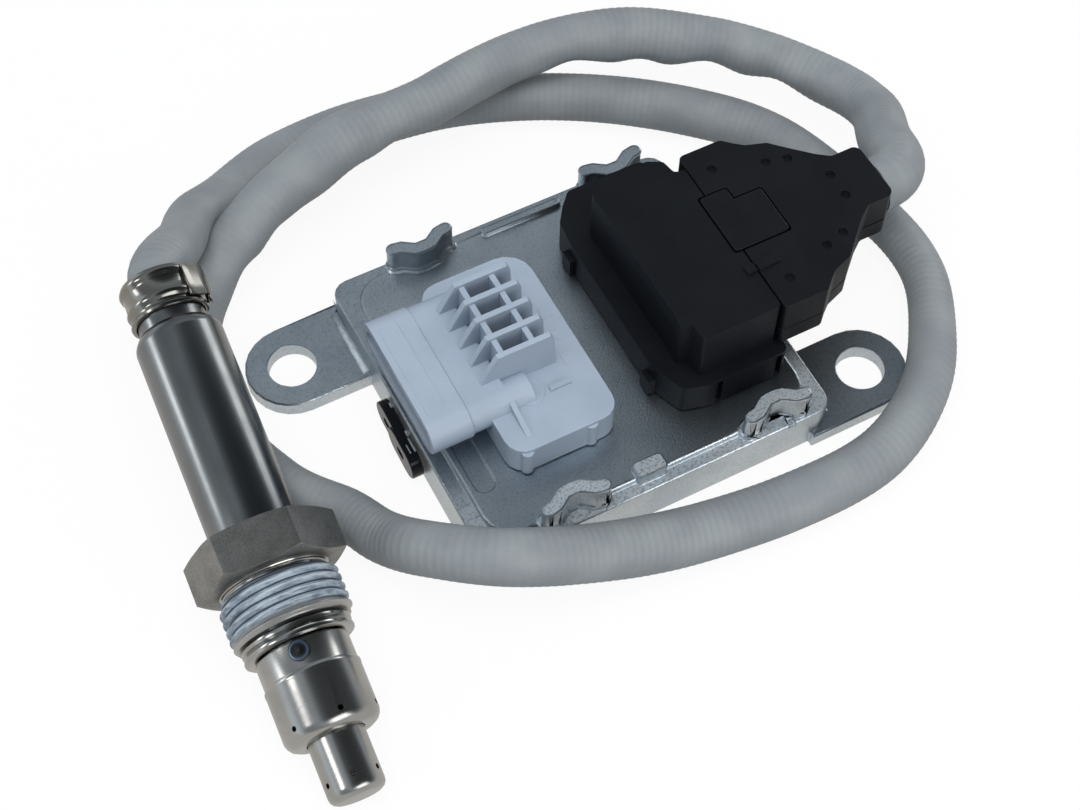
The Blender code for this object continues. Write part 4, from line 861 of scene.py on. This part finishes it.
def pushEnd(piece, move, narrower):  # extrudes the end face that looks towards -Y
    end = selectFace(piece, lambda face: (face.normal.y < -0.2, -face.center.y))
    middle = end.center + Vector(move)
    bpy.ops.object.mode_set(mode="EDIT")
    bpy.ops.mesh.extrude_region_move(TRANSFORM_OT_translate={"value": move})
    bpy.ops.transform.resize(value=(1, 1, narrower), center_override=middle)
    bpy.ops.object.mode_set(mode="OBJECT")


# The control unit

unit = {  # CAD node: its new name, width of its rounded edges in millimetres, slot
    "housing": ("housingCasting", 0.22, "cast_aluminium"),
    "vehicle_header": ("vehicleHeader", 0.18, "grey_plastic"),
    "probe_header": ("probeHeader", 0.2, "black_plastic"),
    "plug_shell_lower": ("plugShellLower", 0.15, "black_plastic"),
    "plug_shell_upper": ("plugShellUpper", 0.15, "black_plastic"),
    "plug_latch": ("plugLatch", 0.15, "black_plastic"),
    "wall_clip": ("wallClip", 0.2, "clip"),
}
casting = {
    "greys": ((0.84, 0.87, 0.89), (0.78, 0.82, 0.85)),
    # the spark colour is for painted glints on the casting
    "pit": (0.56, 0.60, 0.63), "paintedGlint": (0.97, 0.98, 0.98),
    "paintedLightBefore": (-25 * mm, -12 * mm),  # the rough tops get painted light in front of these, where the ledge catches the front lamp
    "rim": (8.3, 9.4), "postFeet": 10.25,  # levels of the tops that are rough
}
marks = {  # on the grey connector, in millimetres
    "flange": 6.2,  # its face, above the connector's lowest point
    "frames": [(-4.3, 3.9, 1.9, 2.3), (-4.75, -0.8, 1.9, 2.3), (-5.0, -5.7, 2.4, 2.6)],
    "sunk": 0.3, "proud": 0.07, "frameEdge": 0.03, "frameWall": 0.16, "frameDepth": 0.1,
    "foot": (-14.1, -8.7), "footRadii": (2.75, 2.65, 0.2), "footHeights": (0.1, 0.18),
    "lines": [(-28.2, -6.6, 12.0), (-31.6, -7.4, 11.6)],
    "lineHalf": 0.06, "lineLevels": (19.3, 19.7), "lineEdge": 0.02,
}
spring = {  # bright tabs that show between the clip and the wall
    "tabs": [((-33.55, 4.1, 6.4), (-32.9, 5.2, 7.5)), ((-33.55, -2.1, 6.4), (-32.9, -1.0, 7.5)),
             ((-34.35, -4.9, 5.4), (-34.1, -3.0, 6.5)), ((-33.6, -5.0, 4.8), (-33.25, -2.2, 6.9))],
    "edge": 0.1,
}


def castFinish(name="castAluminium", roughWithPaintedLight=False):
    cast = Finish(name, screenColour((0.78, 0.81, 0.83)), 0.34, 1.0)
    pitted, paintedGlintShare, dull, depth = 0.4, 0.35, 0.22, 0.07
    if roughWithPaintedLight:  # lighter towards the front as painted light, where the ledge catches the front lamp, and duller there
        level = cast.node("ShaderNodeSeparateXYZ", {}, {0: cast.place()}, output="Y")
        paintedLight = 1.0 - level.between(*casting["paintedLightBefore"])
        cast.set("Metallic", 1.0 - paintedLight * 0.24)
        # more painted glints towards the front, where the ledge catches the front lamp
        pitted, paintedGlintShare = paintedLight * 0.6 + 0.4, paintedLight * 0.5 + 0.35
        dull, depth = paintedLight * 0.22 + 0.22, 0.12
    fine = cast.grain(0.20 * mm, detail=2.0)
    pits = cast.grain(0.42 * mm, detail=3.0)
    broad = cast.grain(9.0 * mm, detail=3.0)
    pale, deep = (screenColour(grey) for grey in casting["greys"])
    base = cast.mix(broad.between(0.35, 0.7), pale, deep)
    mottled = cast.mix(pits.between(0.45, 0.75) * pitted, base, screenColour(casting["pit"]))
    paintedGlint = fine.between(0.60, 0.72) * paintedGlintShare
    # the spark speckles are painted glints: light spots that stand in for light caught by the cast
    # grain
    cast.set("Base Color", cast.mix(paintedGlint, mottled, screenColour(casting["paintedGlint"])))
    cast.set("Roughness", pits * 0.14 + broad * 0.06 + dull)
    cast.bump(fine * 0.5 + pits * 0.5, depth * mm)
    return cast


def roughenTopsWithPaintedLight(piece):  # the rim and the posts' tops are left as cast and rough, with painted light towards the front
    piece.data.materials.append(castFinish("castRoughPaintedLight", True).material)
    low, high = casting["rim"]
    for face in piece.data.polygons:
        level = face.center.z / mm
        if face.normal.z > 0.8 and (low < level < high or level > casting["postFeet"]):
            face.material_index = 1


def greyFinish():
    plastic = Finish("greyPlastic", screenColour((0.60, 0.65, 0.71)), 0.42)
    fine = plastic.grain(0.18 * mm, detail=2.0)
    broad = plastic.grain(8.0 * mm, detail=3.0)
    deep, pale = screenColour((0.59, 0.642, 0.70)), screenColour((0.615, 0.665, 0.725))
    plastic.set("Base Color", plastic.mix(broad.between(0.3, 0.7), deep, pale))
    plastic.set("Roughness", 0.36 + fine * 0.14)
    plastic.bump(fine, 0.010 * mm)
    return plastic


def blackFinish(name="blackPlastic", roughness=0.42):
    plastic = Finish(name, screenColour((0.07, 0.08, 0.095)), roughness)
    plastic.set("Specular IOR Level", 0.25)
    fine = plastic.grain(0.20 * mm, detail=2.0)
    broad = plastic.grain(9.0 * mm, detail=3.0)
    deep, pale = screenColour((0.052, 0.060, 0.076)), screenColour((0.068, 0.076, 0.092))
    plastic.set("Base Color", plastic.mix(broad.between(0.3, 0.7), deep, pale))
    plastic.set("Roughness", roughness - 0.06 + fine * 0.16)
    plastic.bump(fine, 0.014 * mm)
    return plastic


def makeUnit():
    grey = greyFinish()
    looks = {"cast_aluminium": castFinish(), "grey_plastic": grey, "black_plastic": blackFinish(),
             "clip": blackFinish("blackGloss", 0.16)}
    for node, (name, width, slot) in unit.items():
        # the housing has low steps, whose close edges would hold the bevel back
        piece = refined(node, name, width * mm, held=node != "housing")
        dressed(piece, node, looks[slot])
        if node == "housing":
            roughenTopsWithPaintedLight(piece)
    makeMouldMarks(grey)
    makeClipSpring()
    print("control unit made")


def makeMouldMarks(grey):  # faint frames and lines from the mould, and the foot of a boss
    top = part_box("vehicle_header")[0].z / mm + marks["flange"]
    bottom = top - marks["sunk"]
    for number, (x, y, wide, deep) in enumerate(marks["frames"], 1):
        mark = slab(f"mouldFrame{number}", (x - wide / 2, y - deep / 2, bottom),
                    (x + wide / 2, y + deep / 2, top + marks["proud"]), marks["frameEdge"])
        selectFace(mark, lambda face: face.normal.z * face.area)
        bpy.ops.object.mode_set(mode="EDIT")
        bpy.ops.mesh.inset(thickness=marks["frameWall"] * mm)
        bpy.ops.transform.translate(value=(0, 0, -marks["frameDepth"] * mm))
        bpy.ops.object.mode_set(mode="OBJECT")
        dressed(mark, None, grey)
    (wide, edge, middle), (step, rise) = marks["footRadii"], marks["footHeights"]
    foot = turnPiece("bossFoot", [(wide, bottom), (wide, top + step), (edge, top + rise),
                                  (middle, top + rise)], 48, capped=True)
    foot.data.transform(Matrix.Translation([value * mm for value in marks["foot"]] + [0]))
    dressed(settle(foot), None, grey)
    half, (low, high) = marks["lineHalf"], marks["lineLevels"]
    for number, (x, front, back) in enumerate(marks["lines"], 1):
        line = slab(f"mouldLine{number}", (x - half, front, low), (x + half, back, high),
                    marks["lineEdge"])
        dressed(line, None, grey)


def makeClipSpring():
    steel = Finish("springSteel", screenColour((0.86, 0.86, 0.85)), 0.22, 1.0)
    steel.bump(steel.grain(0.3 * mm), 0.01 * mm)
    for number, (low, high) in enumerate(spring["tabs"], 1):
        dressed(slab(f"springTab{number}", low, high, spring["edge"]), None, steel)


# Pieces inside, or under, that keep their solids

plainFinishes = [  # name, colour, roughness, metal, grain and its depth in millimetres, its nodes
    ("softRubber", (0.10, 0.10, 0.11), 0.8, 0.0, 0.3, 0.02, ("base_gasket", "cable_grommet")),
    ("ceramicWhite", (0.93, 0.92, 0.89), 0.45, 0.0, 0.2, 0.01, ("ceramic_bush", "sensing_element")),
    ("chipBlack", (0.12, 0.12, 0.13), 0.55, 0.0, 0.15, 0.01, ("microcontroller", "driver_chip")),
    ("tinnedPin", (0.80, 0.76, 0.62), 0.25, 1.0, 0.4, 0.005, ("vehicle_pin_", "probe_pin_")),
    ("screwSteel", (0.72, 0.72, 0.70), 0.3, 1.0, 0.3, 0.008, ("board_screw_",)),
    ("insertGrey", (0.30, 0.31, 0.32), 0.5, 0.0, 0.2, 0.01, ("plug_insert",)),
]


def dressHidden():
    lacquer, tracks = screenColour((0.08, 0.36, 0.20)), screenColour((0.06, 0.28, 0.16))
    board = Finish("boardGreen", lacquer, 0.35)
    board.set("Base Color", board.mix(board.grain(2.5 * mm).between(0.45, 0.55), lacquer, tracks))
    sheet = Finish("plateSheet", screenColour((0.70, 0.71, 0.72)), 0.35, 1.0)
    rolled = sheet.grain(0.4 * mm, sheet.place(stretch=(0.05, 1.0, 1.0)))
    sheet.set("Roughness", 0.28 + rolled * 0.2)
    looks = [(board, ("circuit_board",)), (sheet, ("base_plate",))]
    for name, colour, roughness, metal, grain, depth, nodes in plainFinishes:
        finish = Finish(name, screenColour(colour), roughness, metal)
        finish.bump(finish.grain(grain * mm), depth * mm)
        looks.append((finish, nodes))
    for node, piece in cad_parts.items():
        for finish, starts in looks:
            if node.startswith(starts):
                piece.data.materials.clear()
                piece.data.materials.append(finish.material)
    print("hidden pieces dressed")


makeCamera()
makeStudio()
makeSleeve()
makeProbe()
makeUnit()
dressHidden()
print("scene ready")
